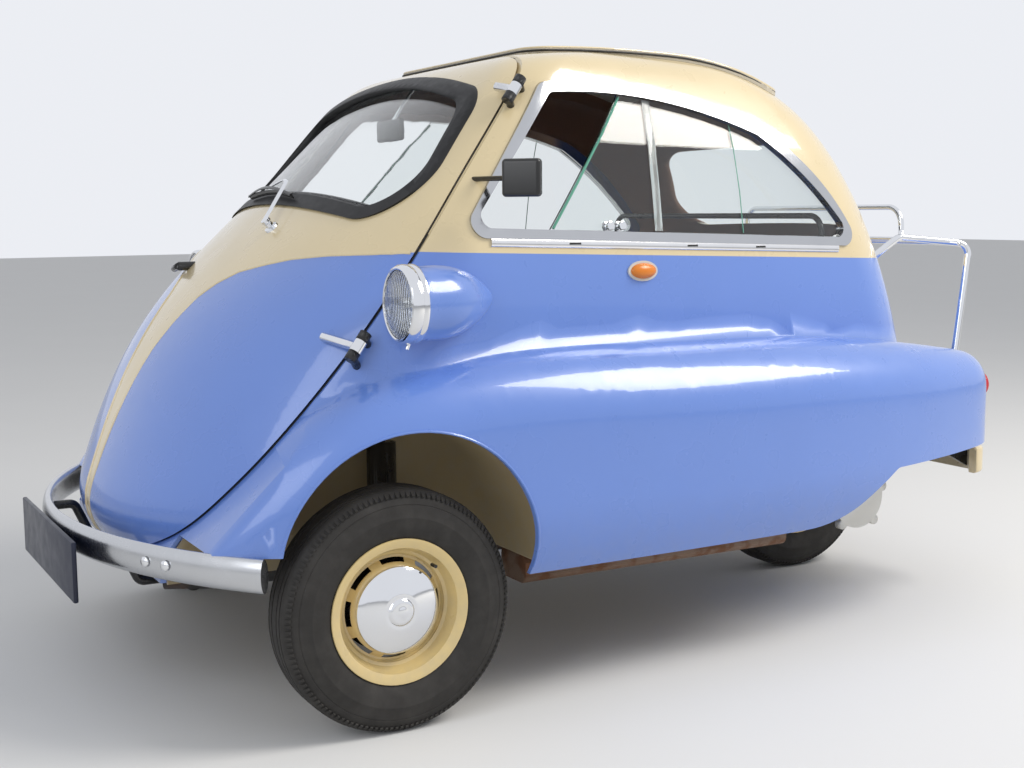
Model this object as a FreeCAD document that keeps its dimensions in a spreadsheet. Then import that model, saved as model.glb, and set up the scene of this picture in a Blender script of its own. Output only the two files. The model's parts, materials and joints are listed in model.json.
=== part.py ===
"""Three-wheeled bubble car: one front door, two steered front wheels, one driven rear wheel.

Millimetres. X points to the car's left, Y to its rear and Z up from the ground. The Y values in the
tables below are stations behind a cross plane just ahead of the front axle; datum_y places that plane
in the car's own frame, whose origin is on the ground below the middle of the car's box.
"""
import FreeCAD, Part
import math
import os

import Sketcher

V = FreeCAD.Vector

# Driving sizes: alias, value, meaning
SIZES = (
    ("datum_y", -664.0, "cross plane that the stations are measured from"),
    ("axle_station", 32.0, "front axle"),
    ("wheelbase", 1468.0, "front axle to rear axle"),
    ("front_track", 1200.0, "between the middles of the front tyres"),
    ("kingpin_x", 440.0, "kingpin from the centre line"),
    ("kingpin_radius", 12.0, "kingpin"),
    ("kingpin_bush_height", 80.0, "tube that holds the kingpin"),
    ("running_gap", 0.06, "between a shaft and its bore"),
    ("seat_gap", 0.3, "between pieces that seat on each other"),
    ("tyre_radius", 235.0, "tyre tread from the axle"),
    ("tyre_width", 118.0, "tyre across its walls"),
    ("tread_width", 84.0, "flat of the tread"),
    ("bead_radius", 126.0, "inner edge of the tyre"),
    ("bead_width", 88.0, "tyre across its beads"),
    ("rim_radius", 141.0, "rim flange"),
    ("rim_wall", 4.0, "rim sheet"),
    ("well_radius", 106.0, "drop centre of the rim"),
    ("disc_radius", 97.0, "wheel disc inside the rim"),
    ("slot_count", 8.0, "slots round the wheel disc"),
    ("slot_arc", 22.0, "degrees that a slot takes"),
    ("slot_width", 6.0, "slot in the wheel disc"),
    ("slot_margin", 3.0, "between hub cap and slots"),
    ("hub_bore", 15.0, "bore of the wheel hub"),
    ("hub_radius", 34.0, "wheel hub"),
    ("cap_radius", 85.0, "hub cap"),
    ("cap_height", 30.0, "hub cap dome"),
    ("wall", 22.0, "cabin wall, outer to inner skin"),
    ("wing_wall", 12.0, "wing at its rolled edge"),
    ("wing_front_wall", 8.0, "front of the wing, just behind the door seam"),
    ("wing_edge_radius", 60.0, "round edge between the wing's front and its side"),
    ("wing_bulge", 7.5, "wing's side outside a straight line between its front sections"),
    ("side_front_y", 300.0, "station of the front width of the cabin sides"),
    ("side_rear_y", 1300.0, "station of the rear width of the cabin sides"),
    ("seam_slope", 0.79, "door seam, run to the rear for each unit of height"),
    ("seam_foot_y", -594.0, "where the seam plane meets the ground"),
    ("seam_gap", 6.0, "between door and body"),
    ("door_low_z", 300.0, "lower edge of the door"),
    ("belt_front_z", 906.0, "colour break at the front of the side"),
    ("belt_front_y", 170.0, "station of the front of the colour break"),
    ("belt_fall", 0.0355, "fall of the belt for each unit to the rear"),
    ("window_rise", 28.0, "window opening above the colour break"),
    ("frame_width", 20.0, "polished frame round the side glass"),
    ("frame_proud", 5.0, "polished frame outside the cabin skin"),
    ("window_front_y", 196.0, "station of the side window's front corner"),
    ("window_rear_y", 1322.0, "station of the side window's rear corner"),
    ("window_top_z", 1243.0, "top of the side window"),
    ("window_corner", 30.0, "corners of the side window"),
    ("pane_low_y", 398.0, "station of the slid-back glass's front edge, at its foot"),
    ("pane_high_y", 652.0, "station of the slid-back glass's front edge, at its head"),
    ("glass_thick", 5.0, "every window"),
    ("glass_depth", 8.0, "glass behind the outer skin"),
    ("screen_low_z", 946.0, "lower edge of the windscreen opening"),
    ("screen_high_z", 1228.0, "upper edge of the windscreen opening"),
    ("screen_low_half", 508.0, "half width of the opening at its foot"),
    ("screen_high_half", 436.0, "half width of the opening at its top"),
    ("screen_corner", 88.0, "corner radius of the windscreen opening"),
    ("screen_arch", 56.0, "rise of its edges at the centre line"),
    ("seal_width", 26.0, "rubber round the windscreen"),
    ("seal_proud", 6.0, "rubber outside the skin"),
    ("rear_low_z", 935.0, "lower edge of the rear window"),
    ("rear_high_z", 1145.0, "upper edge of the rear window"),
    ("rear_low_half", 395.0, "half width of the rear window at its foot"),
    ("rear_high_half", 330.0, "half width of the rear window at its top"),
    ("rear_corner", 70.0, "corner radius of the rear window"),
    ("rear_arch", 8.0, "rise of its edges at the centre line"),
    ("canvas_half", 345.0, "half width of the canvas roof"),
    ("canvas_front_y", 490.0, "front edge of the canvas roof"),
    ("canvas_rear_y", 1185.0, "rear edge of the canvas roof"),
    ("canvas_proud", 9.0, "canvas above the roof skin"),
    ("canvas_lap", 28.0, "canvas over the edge of the roof opening"),
    ("floor_z", 272.0, "underside of the floor"),
    ("floor_thick", 8.0, "floor pressing"),
    ("bulkhead_y", 1150.0, "wall behind the seat"),
    ("shelf_z", 600.0, "parcel shelf above the engine"),
    ("skirt_z", 275.0, "lower edge of the sides"),
    ("tail_low_z", 390.0, "lower edge of the tail"),
    ("notch_front_y", 1111.0, "where the skirt and its rise behind the wheel would meet"),
    ("notch_rear_y", 1290.0, "where the rise and the tail's edge would meet"),
    ("notch_front_radius", 300.0, "bend from the skirt into its rise"),
    ("notch_rear_radius", 26.0, "bend from the rise into the tail's edge"),
    ("arch_y", 55.0, "middle of the front wheel arch"),
    ("arch_z", 326.0, "middle of the front wheel arch"),
    ("arch_radius", 254.0, "front wheel arch"),
    ("arch_tuck", 28.0, "rear edge of the arch, in from its circle"),
    ("arch_front_z", 366.0, "lower edge of the wing in front of the wheel"),
    ("house_y", 50.0, "middle of the wheelhouse behind the arch"),
    ("house_z", 275.0, "middle of the wheelhouse behind the arch"),
    ("house_radius", 320.0, "wheelhouse behind the arch"),
    ("liner_inner_x", 362.0, "inner wall of the wheelhouse"),
    ("liner_outer_x", 612.0, "outer end of the wheelhouse"),
    ("liner_wall", 6.0, "wheelhouse pressing"),
    ("lamp_x", 645.0, "headlamp from the centre line"),
    ("lamp_y", 46.0, "rim of the headlamp"),
    ("lamp_z", 815.0, "headlamp"),
    ("lamp_radius", 70.0, "headlamp pod"),
    ("ring_proud", 4.0, "chrome ring outside the pod"),
    ("door_clearance", 6.0, "between the door's skin and what stays beside it"),
    ("ring_length", 24.0, "chrome ring"),
    ("tube_radius", 24.0, "main frame tube"),
    ("frame_x", 255.0, "main frame tube from the centre line"),
    ("frame_z", 246.0, "main frame tube"),
    ("jack_pad", 80.0, "square jacking pad under each long tube"),
    ("jack_y", 800.0, "station of the jacking pads"),
    ("jack_proud", 6.0, "jacking pad below the tube"),
    ("damper_x", 405.0, "front damper from the centre line"),
    ("damper_y", 102.0, "station of the front dampers"),
    ("damper_radius", 30.0, "cover of the front damper"),
    ("damper_top_z", 520.0, "top of the damper's cover"),
    ("damper_rod_radius", 9.0, "damper rod"),
    ("hinge_low_x", 600.0, "door hinge axis at its lower hinge"),
    ("hinge_low_z", 730.0, "lower hinge"),
    ("hinge_high_x", 508.0, "door hinge axis at its upper hinge"),
    ("hinge_high_z", 1218.0, "upper hinge"),
    ("hinge_proud", 10.0, "hinge axis ahead of the seam plane"),
    ("hinge_pin_radius", 6.0, "hinge pin"),
    ("hinge_knuckle_radius", 12.0, "hinge knuckle"),
    ("hinge_span", 62.0, "whole hinge along its pin"),
    ("hinge_ear", 18.0, "each outer knuckle of a hinge"),
    ("hinge_arm_radius", 9.0, "arm from a hinge to its panel"),
    ("bumper_nose_y", -478.0, "front bumper on the centre line"),
    ("bumper_end_y", -245.0, "front bumper at its ends"),
    ("bumper_half", 650.0, "half width of the front bumper"),
    ("bumper_low_z", 305.0, "front bumper"),
    ("bumper_height", 64.0, "front bumper"),
    ("bumper_thick", 26.0, "front bumper"),
    ("bumper_round", 12.0, "rounding of the front bumper's face"),
    ("corner_inner_x", 190.0, "inner end of a rear bumper corner"),
    ("corner_outer_x", 448.0, "outer end of a rear bumper corner"),
    ("corner_face_y", 1806.0, "station of the rear bumper's face"),
    ("corner_thick", 24.0, "rear bumper"),
    ("corner_bend", 60.0, "bend of the rear bumper"),
    ("corner_low_z", 300.0, "lower edge of the rear bumper"),
    ("corner_height", 68.0, "rear bumper"),
    ("corner_bracket_x", 376.0, "bracket of a rear bumper corner"),
    ("tail_lamp_x", 424.0, "tail lamp from the centre line"),
    ("tail_lamp_z", 530.0, "tail lamp"),
    ("side_lamp_y", 642.0, "station of the side indicator"),
    ("side_lamp_z", 856.0, "side indicator"),
    ("mirror_x", 664.0, "mirror head from the centre line"),
    ("mirror_y", 290.0, "station of the mirror head"),
    ("mirror_z", 1046.0, "mirror"),
    ("mirror_half", 38.0, "half width and nearly half height of the mirror head"),
    ("mirror_thick", 24.0, "mirror head"),
    ("rack_radius", 9.0, "luggage rack tube"),
    ("rack_hoop_z", 984.0, "top of the rack's hoop"),
    ("case_near_x", 84.0, "chain case, face beside the wheel"),
    ("case_far_x", 140.0, "chain case, outer face"),
    ("case_boss_x", 268.0, "end cover of the rear axle"),
    ("case_cover_x", 286.0, "end cover of the rear axle, outer face"),
    ("case_front_radius", 50.0, "chain case round its pivot"),
    ("case_rear_radius", 84.0, "chain case round the axle"),
    ("cover_radius", 80.0, "end cover of the rear axle"),
    ("ear_reach", 84.0, "bolt ears from the axle"),
    ("ear_radius", 13.0, "bolt ears"),
    ("pivot_y", 1225.0, "station of the rear cross tube, on which the chain case swings"),
    ("bearer_x", 165.0, "inner engine bearer from the centre line"),
    ("bearer_y", 1480.0, "station of the bearers' rear ends"),
    ("engine_x", -400.0, "right end of the engine and of the silencer"),
    ("engine_y", 1215.0, "station of the engine's front"),
    ("engine_width", 270.0, "engine across the car"),
    ("engine_length", 300.0, "engine along the car"),
    ("engine_height", 250.0, "engine"),
    ("silencer_y", 1600.0, "station of the silencer"),
    ("silencer_z", 330.0, "silencer"),
    ("silencer_radius", 58.0, "silencer"),
    ("silencer_length", 290.0, "silencer"),
    ("pipe_radius", 17.0, "pipe from the engine to the silencer"),
    ("pipe_x", -300.0, "pipe from the engine to the silencer"),
    ("duct_inner_x", 392.0, "heater duct under the left sill"),
    ("duct_outer_x", 500.0, "heater duct under the left sill"),
    ("duct_front_y", 384.0, "station of the duct's front end"),
    ("duct_rear_y", 1080.0, "station of the duct's rear end"),
    ("duct_low_z", 205.0, "underside of the duct"),
    ("duct_high_z", 271.7, "top of the duct, under the floor"),
    ("wheel_rim_radius", 190.0, "steering wheel"),
    ("wheel_grip_radius", 9.0, "steering wheel rim"),
    ("column_radius", 17.0, "steering column"),
    ("column_x", 205.0, "steering column from the centre line"),
    ("boss_radius", 34.0, "boss of the steering wheel"),
    ("boss_depth", 16.0, "boss below the rim's plane"),
    ("spoke_width", 22.0, "spokes of the steering wheel"),
    ("spoke_thick", 8.0, "spokes of the steering wheel"),
    ("pod_radius", 48.0, "instrument pod"),
    ("stay_reach", 330.0, "stay to the door, up the column from its foot"),
    ("stay_radius", 12.0, "stay to the door"),
    ("seat_half", 430.0, "half width of the seat"),
    ("seat_front_y", 600.0, "station of the cushion's front"),
    ("seat_rear_y", 1100.0, "station of the cushion's rear"),
    ("seat_low_z", 420.0, "underside of the cushion"),
    ("seat_high_z", 560.0, "top of the cushion"),
    ("back_y", 1000.0, "station of the seat back's foot"),
    ("back_lean", 8.0, "degrees that the seat back leans"),
    ("cushion_round", 35.0, "edges of the cushion and of the seat back"),
    ("back_thick", 95.0, "seat back"),
    ("back_height", 390.0, "seat back"),
    ("rail_half", 440.0, "half width of the rail behind the seat"),
    ("rail_y", 1220.0, "station of the rail behind the seat"),
    ("rail_z", 965.0, "top of the rail behind the seat"),
    ("rail_radius", 7.0, "rail behind the seat"),
)

# Cabin shell, horizontal outlines from the sill to the roof. Columns: height; nose and tail on the
# centre line; half width at the front and rear stations of the side; radius of nose, front corner,
# tail and rear corner; share of the wall thickness that the inner skin drops by (roof-like slices)
CABIN = (
    (262.0, -335.0, 1560.0, 462.0, 430.0, 640.0, 230.0, 1100.0, 200.0, 0.0),
    (450.0, -385.0, 1640.0, 545.0, 470.0, 780.0, 240.0, 1000.0, 200.0, 0.0),
    (700.0, -268.0, 1600.0, 592.0, 478.0, 840.0, 250.0, 900.0, 220.0, 0.0),
    (900.0, -95.0, 1540.0, 586.0, 462.0, 900.0, 200.0, 800.0, 250.0, 0.0),
    (1080.0, 108.0, 1450.0, 556.0, 425.0, 1100.0, 165.0, 700.0, 260.0, 0.2),
    (1220.0, 262.0, 1320.0, 522.0, 365.0, 1500.0, 120.0, 620.0, 230.0, 0.5),
    (1290.0, 370.0, 1180.0, 490.0, 310.0, 2600.0, 100.0, 560.0, 190.0, 0.9),
    (1326.0, 560.0, 1020.0, 400.0, 240.0, 2600.0, 110.0, 520.0, 150.0, 1.0),
)

# Wings and tail, upright sections from front to rear. Columns: station; half width; crest height;
# shoulder radius; how far the lower edge tucks in
WINGS = (
    (-345.0, 452.0, 420.0, 60.0, 10.0),
    (-270.0, 590.0, 478.0, 90.0, 20.0),
    (-160.0, 656.0, 570.0, 115.0, 30.0),
    (-20.0, 684.0, 664.0, 130.0, 42.0),
    (150.0, 692.0, 706.0, 140.0, 48.0),
    (650.0, 690.0, 706.0, 145.0, 50.0),
    (1100.0, 668.0, 692.0, 140.0, 50.0),
    (1400.0, 622.0, 664.0, 120.0, 40.0),
    (1600.0, 566.0, 636.0, 95.0, 26.0),
    (1700.0, 516.0, 616.0, 80.0, 16.0),
    (1738.0, 460.0, 596.0, 70.0, 10.0),
)

document = FreeCAD.newDocument("bubble_car")
sheet = document.addObject("Spreadsheet::Sheet", "Sizes")
for row_number, (alias, value, meaning) in enumerate(SIZES, start=1):
    sheet.set(f"A{row_number}", alias)
    sheet.set(f"B{row_number}", str(value))
    sheet.setAlias(f"B{row_number}", alias)
    sheet.set(f"C{row_number}", meaning)
document.recompute()


class Size:
    """A length together with the sheet expression that it comes from."""

    def __init__(self, value, text):
        self.value = float(value)
        self.text = text

    @staticmethod
    def of(other):
        return other if isinstance(other, Size) else Size(other, repr(float(other)))

    def __add__(self, other):
        other = Size.of(other)
        return Size(self.value + other.value, f"({self.text} + {other.text})")

    def __sub__(self, other):
        other = Size.of(other)
        return Size(self.value - other.value, f"({self.text} - {other.text})")

    def __mul__(self, other):
        other = Size.of(other)
        return Size(self.value * other.value, f"({self.text} * {other.text})")

    def __truediv__(self, other):
        other = Size.of(other)
        return Size(self.value / other.value, f"({self.text} / {other.text})")

    def __neg__(self):
        return Size(-self.value, f"(0 - {self.text})")


def cell(alias):
    """The sheet's cell as a Size, for a property that stays bound to it."""
    return Size(sheet.get(alias), f"Sizes.{alias}")


def size(alias):
    """The sheet's cell as a plain number, for shapes made from outlines."""
    return float(sheet.get(alias))


def bind(thing, **properties):
    """Set properties to values and tie them to the sheet."""
    for name, amount in properties.items():
        amount = Size.of(amount)
        setattr(thing, name, amount.value)
        thing.setExpression(name, amount.text)


DATUM_Y = size("datum_y")
AXLE_Y = DATUM_Y + size("axle_station")
REAR_AXLE_Y = AXLE_Y + size("wheelbase")
WALL = size("wall")
FIT = size("seat_gap")
FAR = 3000.0
TAIL_TURN_Y = 1550.0
FRONT_Y, REAR_Y = -600.0, 1900.0
FRAME_RUN = (-296.0, -200.0, 1250.0)
CROSS_TUBES = (-250.0, 32.0, 520.0, 1060.0)
COVER_EARS = (15.0, 105.0, 232.0, 310.0)
PIN_ARM = V(-42.0, 42.0, -16.0)
STRAP_ARMS = {"low": V(-76.0, -46.0, 5.0), "high": V(-38.0, -23.0, 3.0)}
HANDLE_TIP = (-238.0, DATUM_Y - 130.0, 857.0)
HANDLE_ROOT = (-140.0, DATUM_Y - 148.0, 866.0)

# Left side of the luggage rack: X, station, height of the corners of its loop
RACK_LOOP = (
    (298.0, 1430.0, 806.0),
    (314.0, 1588.0, 908.0),
    (385.0, 1764.0, 888.0),
    (396.0, 1704.0, 560.0),
)

# Headlamp pod: distance behind the lamp's rim, radius, shift towards the cabin
POD = (
    (24.0, 70.0, 0.0),
    (60.0, 70.0, 8.0),
    (110.0, 66.0, 18.0),
    (160.0, 48.0, 34.0),
    (200.0, 24.0, 52.0),
    (222.0, 6.0, 64.0),
)
NODES = []


def station(y):
    """A station of the tables in the car's frame."""
    return DATUM_Y + y


def node(thing, label):
    """Name a finished sub-part and keep it for export."""
    thing.Label = label
    NODES.append(thing)
    return thing


def feature(label, shape, placement=None):
    """A sub-part whose shape is made from outlines."""
    thing = document.addObject("Part::Feature", label)
    thing.Shape = shape
    if placement is not None:
        thing.Placement = placement
    return node(thing, label)


def block(low, high):
    """A box between two corners."""
    return Part.makeBox(high[0] - low[0], high[1] - low[1], high[2] - low[2], V(*low))


def rod(start, end, radius):
    """A round bar between two points."""
    start, end = V(*start), V(*end)
    return Part.makeCylinder(radius, (end - start).Length, start, end - start)


def fuse(shapes):
    """One shape from many that touch or overlap."""
    return shapes[0].multiFuse(list(shapes[1:])).removeSplitter()


def half_space(point, normal):
    """Everything on the side of a plane that its normal points to."""
    slab = Part.makeBox(2 * FAR, 2 * FAR, FAR, V(-FAR, -FAR, 0))
    slab.Placement = FreeCAD.Placement(V(*point), FreeCAD.Rotation(V(0, 0, 1), V(*normal)))
    return slab


def mirrored(shape):
    """The same shape on the car's other side."""
    return shape.mirror(V(0, 0, 0), V(1, 0, 0))


def arc(start, middle, end):
    return Part.Arc(start, middle, end).toShape()


def line(start, end):
    return Part.makeLine(start, end)


# Cabin outlines
def corner_centre(side_point, along, radius, end_centre_y, end_radius, towards_rear):
    """Middle of the corner arc that meets the side line and the end arc without a kink."""
    inward = V(-along.y, along.x, 0)
    base = side_point + inward * radius
    offset = base - V(0, end_centre_y, 0)
    reach = end_radius - radius
    half = offset.dot(along)
    root = math.sqrt(half * half - (offset.dot(offset) - reach * reach))
    return base + along * (-half + (root if towards_rear else -root))


def cabin_outline(row, grow):
    """One closed outline of the cabin, grown outwards by grow (or inwards when negative)."""
    z, nose, tail, half_front, half_rear, nose_r, front_r, tail_r, rear_r, drop = row
    z = z + grow * drop
    nose, tail = station(nose) - grow, station(tail) + grow
    nose_r, front_r, tail_r, rear_r = nose_r + grow, front_r + grow, tail_r + grow, rear_r + grow
    front = V(half_front + grow, station(size("side_front_y")), 0)
    rear = V(half_rear + grow, station(size("side_rear_y")), 0)
    along = (rear - front).normalize()
    outward = V(along.y, -along.x, 0)
    nose_middle, tail_middle = V(0, nose + nose_r, 0), V(0, tail - tail_r, 0)
    front_c = corner_centre(front, along, front_r, nose_middle.y, nose_r, False)
    rear_c = corner_centre(front, along, rear_r, tail_middle.y, tail_r, True)
    to_nose = (front_c - nose_middle).normalize()
    to_tail = (rear_c - tail_middle).normalize()
    points = (
        nose_middle + to_nose * nose_r,
        front_c + (to_nose + outward).normalize() * front_r,
        front_c + outward * front_r,
        rear_c + outward * rear_r,
        rear_c + (to_tail + outward).normalize() * rear_r,
        tail_middle + to_tail * tail_r,
    )
    left = [V(p.x, p.y, z) for p in points]
    right = [V(-p.x, p.y, z) for p in points]
    edges = (
        arc(right[0], V(0, nose, z), left[0]),
        arc(left[0], left[1], left[2]),
        line(left[2], left[3]),
        arc(left[3], left[4], left[5]),
        arc(left[5], V(0, tail, z), right[5]),
        arc(right[5], right[4], right[3]),
        line(right[3], right[2]),
        arc(right[2], right[1], right[0]),
    )
    return Part.Wire(edges)


def cabin_solid(grow=0.0):
    """The egg of the cabin as one solid, grown or shrunk from its outer skin."""
    return Part.makeLoft([cabin_outline(row, grow) for row in CABIN], True, False)


def end_share(y):
    """How much of the wall thickness moves a section along the car: 0 at its middle, 1 at its ends."""
    nose, tail = WINGS[0][0], WINGS[-1][0]
    return min(y / nose, 1.0) if y < 0 else max(0.0, (y - TAIL_TURN_Y) / (tail - TAIL_TURN_Y))


def wing_section(row, grow, low_z):
    """One upright section through both wings."""
    y, half, crest, shoulder, tuck = row
    y += grow * end_share(y) * (-1.0 if y < 0 else 1.0)
    y, half, crest = station(y), half + grow, crest + grow
    shoulder = shoulder + grow
    knee_z = 0.5 * (low_z + crest - shoulder)
    right_angle = math.sqrt(0.5)
    mid_low = V(half - 0.25 * tuck, y, 0.5 * (low_z + knee_z))
    points = (
        V(half - tuck, y, low_z),
        mid_low,
        V(half, y, knee_z),
        V(half, y, crest - shoulder),
        V(half - shoulder * (1 - right_angle), y, crest - shoulder * (1 - right_angle)),
        V(half - shoulder, y, crest),
    )
    mirror = [V(-p.x, p.y, p.z) for p in points]
    edges = (
        line(mirror[0], points[0]),
        arc(points[0], points[1], points[2]),
        line(points[2], points[3]),
        arc(points[3], points[4], points[5]),
        line(points[5], mirror[5]),
        arc(mirror[5], mirror[4], mirror[3]),
        line(mirror[3], mirror[2]),
        arc(mirror[2], mirror[1], mirror[0]),
    )
    return Part.Wire(edges)


def wing_solid(grow=0.0):
    """Both wings and the tail as one solid."""
    low_z = size("skirt_z") - 25.0
    return Part.makeLoft([wing_section(row, grow, low_z) for row in WINGS], True, False)


def rounded_window(low_z, high_z, low_half, high_half, corner, rise, front_y, rear_y):
    """A prism along Y whose outline has four round corners and edges that rise in the middle."""
    low_left, low_right = V(low_half, front_y, low_z), V(-low_half, front_y, low_z)
    high_left, high_right = V(high_half, front_y, high_z), V(-high_half, front_y, high_z)
    outline = Part.Wire(
        (
            arc(low_right, V(0, front_y, low_z + rise), low_left),
            line(low_left, high_left),
            arc(high_left, V(0, front_y, high_z + rise), high_right),
            line(high_right, low_right),
        )
    )
    prism = Part.Face(outline).extrude(V(0, rear_y - front_y, 0))
    edges = [e for e in prism.Edges if abs(e.tangentAt(e.FirstParameter).y) > 0.99]
    return prism.makeFillet(corner, edges)


def belt_z(y_from_axle):
    """Height of the colour break at a station."""
    return size("belt_front_z") - size("belt_fall") * (y_from_axle - size("belt_front_y"))


def side_window(inset):
    """A prism across the car with the outline of the side windows."""
    rise, top = size("window_rise") + inset, size("window_top_z") - inset
    front_y = size("window_front_y") + 1.35 * inset
    rear_y = size("window_rear_y") - 1.45 * inset
    low_front = V(0, station(front_y), belt_z(front_y) + rise)
    low_rear = V(0, station(rear_y), belt_z(rear_y) + rise)
    high_front = V(0, station(front_y + 232.0 - 0.45 * inset), top)
    top_middle = V(0, station(rear_y - 562.0 + 1.45 * inset), top - 9.0)
    high_rear = V(0, station(rear_y - 287.0 + 0.95 * inset), top - 73.0)
    rear_middle = V(0, station(rear_y - 110.0 + 0.45 * inset), top - 203.0 + 0.2 * inset)
    outline = Part.Wire(
        (
            line(low_rear, low_front),
            line(low_front, high_front),
            arc(high_front, top_middle, high_rear),
            arc(high_rear, rear_middle, low_rear),
        )
    )
    prism = Part.Face(outline).extrude(V(FAR / 2, 0, 0))
    edges = [e for e in prism.Edges if abs(e.tangentAt(e.FirstParameter).x) > 0.99]
    front = station(size("side_front_y") + 200.0)
    sharp = [e for e in edges if e.Vertexes[0].Point.z < low_front.z + 30.0 or e.Vertexes[0].Point.y < front]
    return prism.makeFillet(size("window_corner") - 0.4 * inset, sharp)


# Shared bodies of the shell
SEAM = V(0, station(size("seam_foot_y")), 0)
SEAM_NORMAL = V(0, 1.0, -size("seam_slope")).normalize()
OUTER = cabin_solid()
INNER = cabin_solid(-WALL)
behind_seam = half_space(SEAM, SEAM_NORMAL)
ahead_of_seam = half_space(SEAM - SEAM_NORMAL * size("seam_gap"), SEAM_NORMAL * -1)
above_belt = half_space(
    V(0, station(size("belt_front_y")), size("belt_front_z")), V(0, size("belt_fall"), 1.0)
)
side_hole = side_window(0.0)
screen_hole = rounded_window(
    size("screen_low_z"), size("screen_high_z"), size("screen_low_half"),
    size("screen_high_half"), size("screen_corner"), size("screen_arch"),
    station(-300.0), station(520.0),
)
rear_hole = rounded_window(
    size("rear_low_z"), size("rear_high_z"), size("rear_low_half"),
    size("rear_high_half"), size("rear_corner"), size("rear_arch"), station(1180.0), station(1700.0),
)


def wheel_space(kind, grow, inner_x, outer_x, side):
    """Room round one front wheel, open forwards below the wing's front edge.

    The kind is "arch" for the opening in the wing or "house" for the wider room behind it.
    """
    middle_y, middle_z = station(size(f"{kind}_y")), size(f"{kind}_z")
    radius = size(f"{kind}_radius") + grow
    rear_y = middle_y + radius - (size("arch_tuck") if kind == "arch" else 0.0)
    barrel = Part.makeCylinder(radius, outer_x - inner_x, V(inner_x, middle_y, middle_z), V(1, 0, 0))
    below = block(
        (inner_x, station(FRONT_Y), 0.0), (outer_x, middle_y, size("arch_front_z") + grow)
    )
    under = block((inner_x, middle_y - 1.0, 0.0), (outer_x, rear_y, middle_z))
    space = fuse([barrel, below, under])
    return space if side > 0 else mirrored(space)


def wing_edge(depth):
    """What the round front edges leave off both wings, for a skin at a depth behind the outside.

    Each edge follows the line where the wing's side and the seam plane would meet.
    """
    low, high = (
        V(half + size("wing_bulge"), station(y), (y - size("seam_foot_y")) / size("seam_slope"))
        for y, half, crest, shoulder, tuck in WINGS[1:3]
    )
    along = (high - low).normalize()
    ahead = SEAM_NORMAL * -1.0
    outward = along.cross(V(0, 0, 1)).normalize()
    radius, reach = size("wing_edge_radius"), (high - low).Length
    middle = low - (ahead + outward) * (radius / (1.0 + ahead.dot(outward)))
    start = middle - along * reach
    fan = (start, start + ahead * reach, start + (ahead + outward) * reach, start + outward * reach, start)
    corner = Part.Face(Part.makePolygon(fan)).extrude(along * 3.0 * reach)
    corner = corner.cut(Part.makeCylinder(radius - depth, 5.0 * reach, start - along * reach, along))
    return corner.fuse(mirrored(corner))


def skirt_cutter():
    """Everything below the lower edge: the sill, its rise behind the rear wheel and the tail."""
    low, high = size("skirt_z"), size("tail_low_z")
    corners = (
        (FRONT_Y, 0.0), (FRONT_Y, low), (size("notch_front_y"), low),
        (size("notch_rear_y"), high), (REAR_Y, high + 12.0), (REAR_Y, 0.0),
    )
    points = [V(-FAR, station(y), z) for y, z in corners]
    cutter = Part.Face(Part.makePolygon(points + points[:1])).extrude(V(2 * FAR, 0, 0))
    for name, radius in (("notch_front_y", "notch_front_radius"), ("notch_rear_y", "notch_rear_radius")):
        across = [e for e in cutter.Edges if abs(e.tangentAt(e.FirstParameter).x) > 0.99]
        bend = [e for e in across if abs(e.Vertexes[0].Y - station(size(name))) < 1.0]
        cutter = cutter.makeFillet(size(radius), bend)
    return cutter


def body_lower():
    """Blue lower body: cabin sides, wings and tail in one pressing."""
    front_wall = size("wing_front_wall")
    wings_inner = wing_solid(-size("wing_wall")).cut(wing_edge(front_wall))
    wings_inner = wings_inner.common(half_space(SEAM + SEAM_NORMAL * front_wall, SEAM_NORMAL))
    bay = block(
        (-FAR, station(size("bulkhead_y")) + WALL, 0.0),
        (FAR, station(REAR_Y), size("shelf_z") - WALL),
    )
    cabin_space = INNER.cut(
        block((-FAR, station(size("bulkhead_y")), 0.0), (FAR, station(REAR_Y), size("shelf_z")))
    )
    body = OUTER.fuse(wing_solid().cut(wing_edge(0.0)))
    body = body.cut(cabin_space)
    body = body.cut(wings_inner.cut(OUTER))
    body = body.cut(wings_inner.common(bay))
    body = body.cut(skirt_cutter())
    inner_x = size("liner_inner_x") - size("liner_wall") - FIT
    room = wings_inner.fuse(cabin_solid(-size("wing_wall")))
    for side in (1, -1):
        arch = wheel_space("arch", 0.0, size("liner_outer_x") - 20.0, 900.0, side)
        opening = wheel_space("house", size("liner_wall") + FIT, inner_x, size("liner_outer_x"), side)
        front = block(
            (inner_x, station(FRONT_Y), 0.0),
            (900.0, station(size("arch_y")), size("arch_front_z")),
        )
        front = front if side > 0 else mirrored(front)
        body = body.cut(arch).cut(opening.common(cabin_solid(0.5)).common(room)).cut(front)
    return body.common(behind_seam).cut(above_belt)


def body_upper():
    """Cream upper cabin with its window and roof openings."""
    shell = OUTER.cut(INNER).common(above_belt).common(behind_seam)
    shell = shell.cut(side_hole).cut(mirrored(side_hole)).cut(rear_hole)
    lap = size("canvas_lap")
    roof_hole = block(
        (-size("canvas_half") + lap, station(size("canvas_front_y")) + lap, 1200.0),
        (size("canvas_half") - lap, station(size("canvas_rear_y")) - lap, 1500.0),
    )
    edges = [e for e in roof_hole.Edges if abs(e.tangentAt(0).z) > 0.99]
    return shell.cut(roof_hole.makeFillet(50.0, edges))


lower = feature("body_lower", body_lower())
upper = feature("body_upper", body_upper())


def skin(out, inside):
    """A sheet that follows the cabin between two depths, outwards positive."""
    return cabin_solid(out).cut(cabin_solid(inside))


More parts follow.
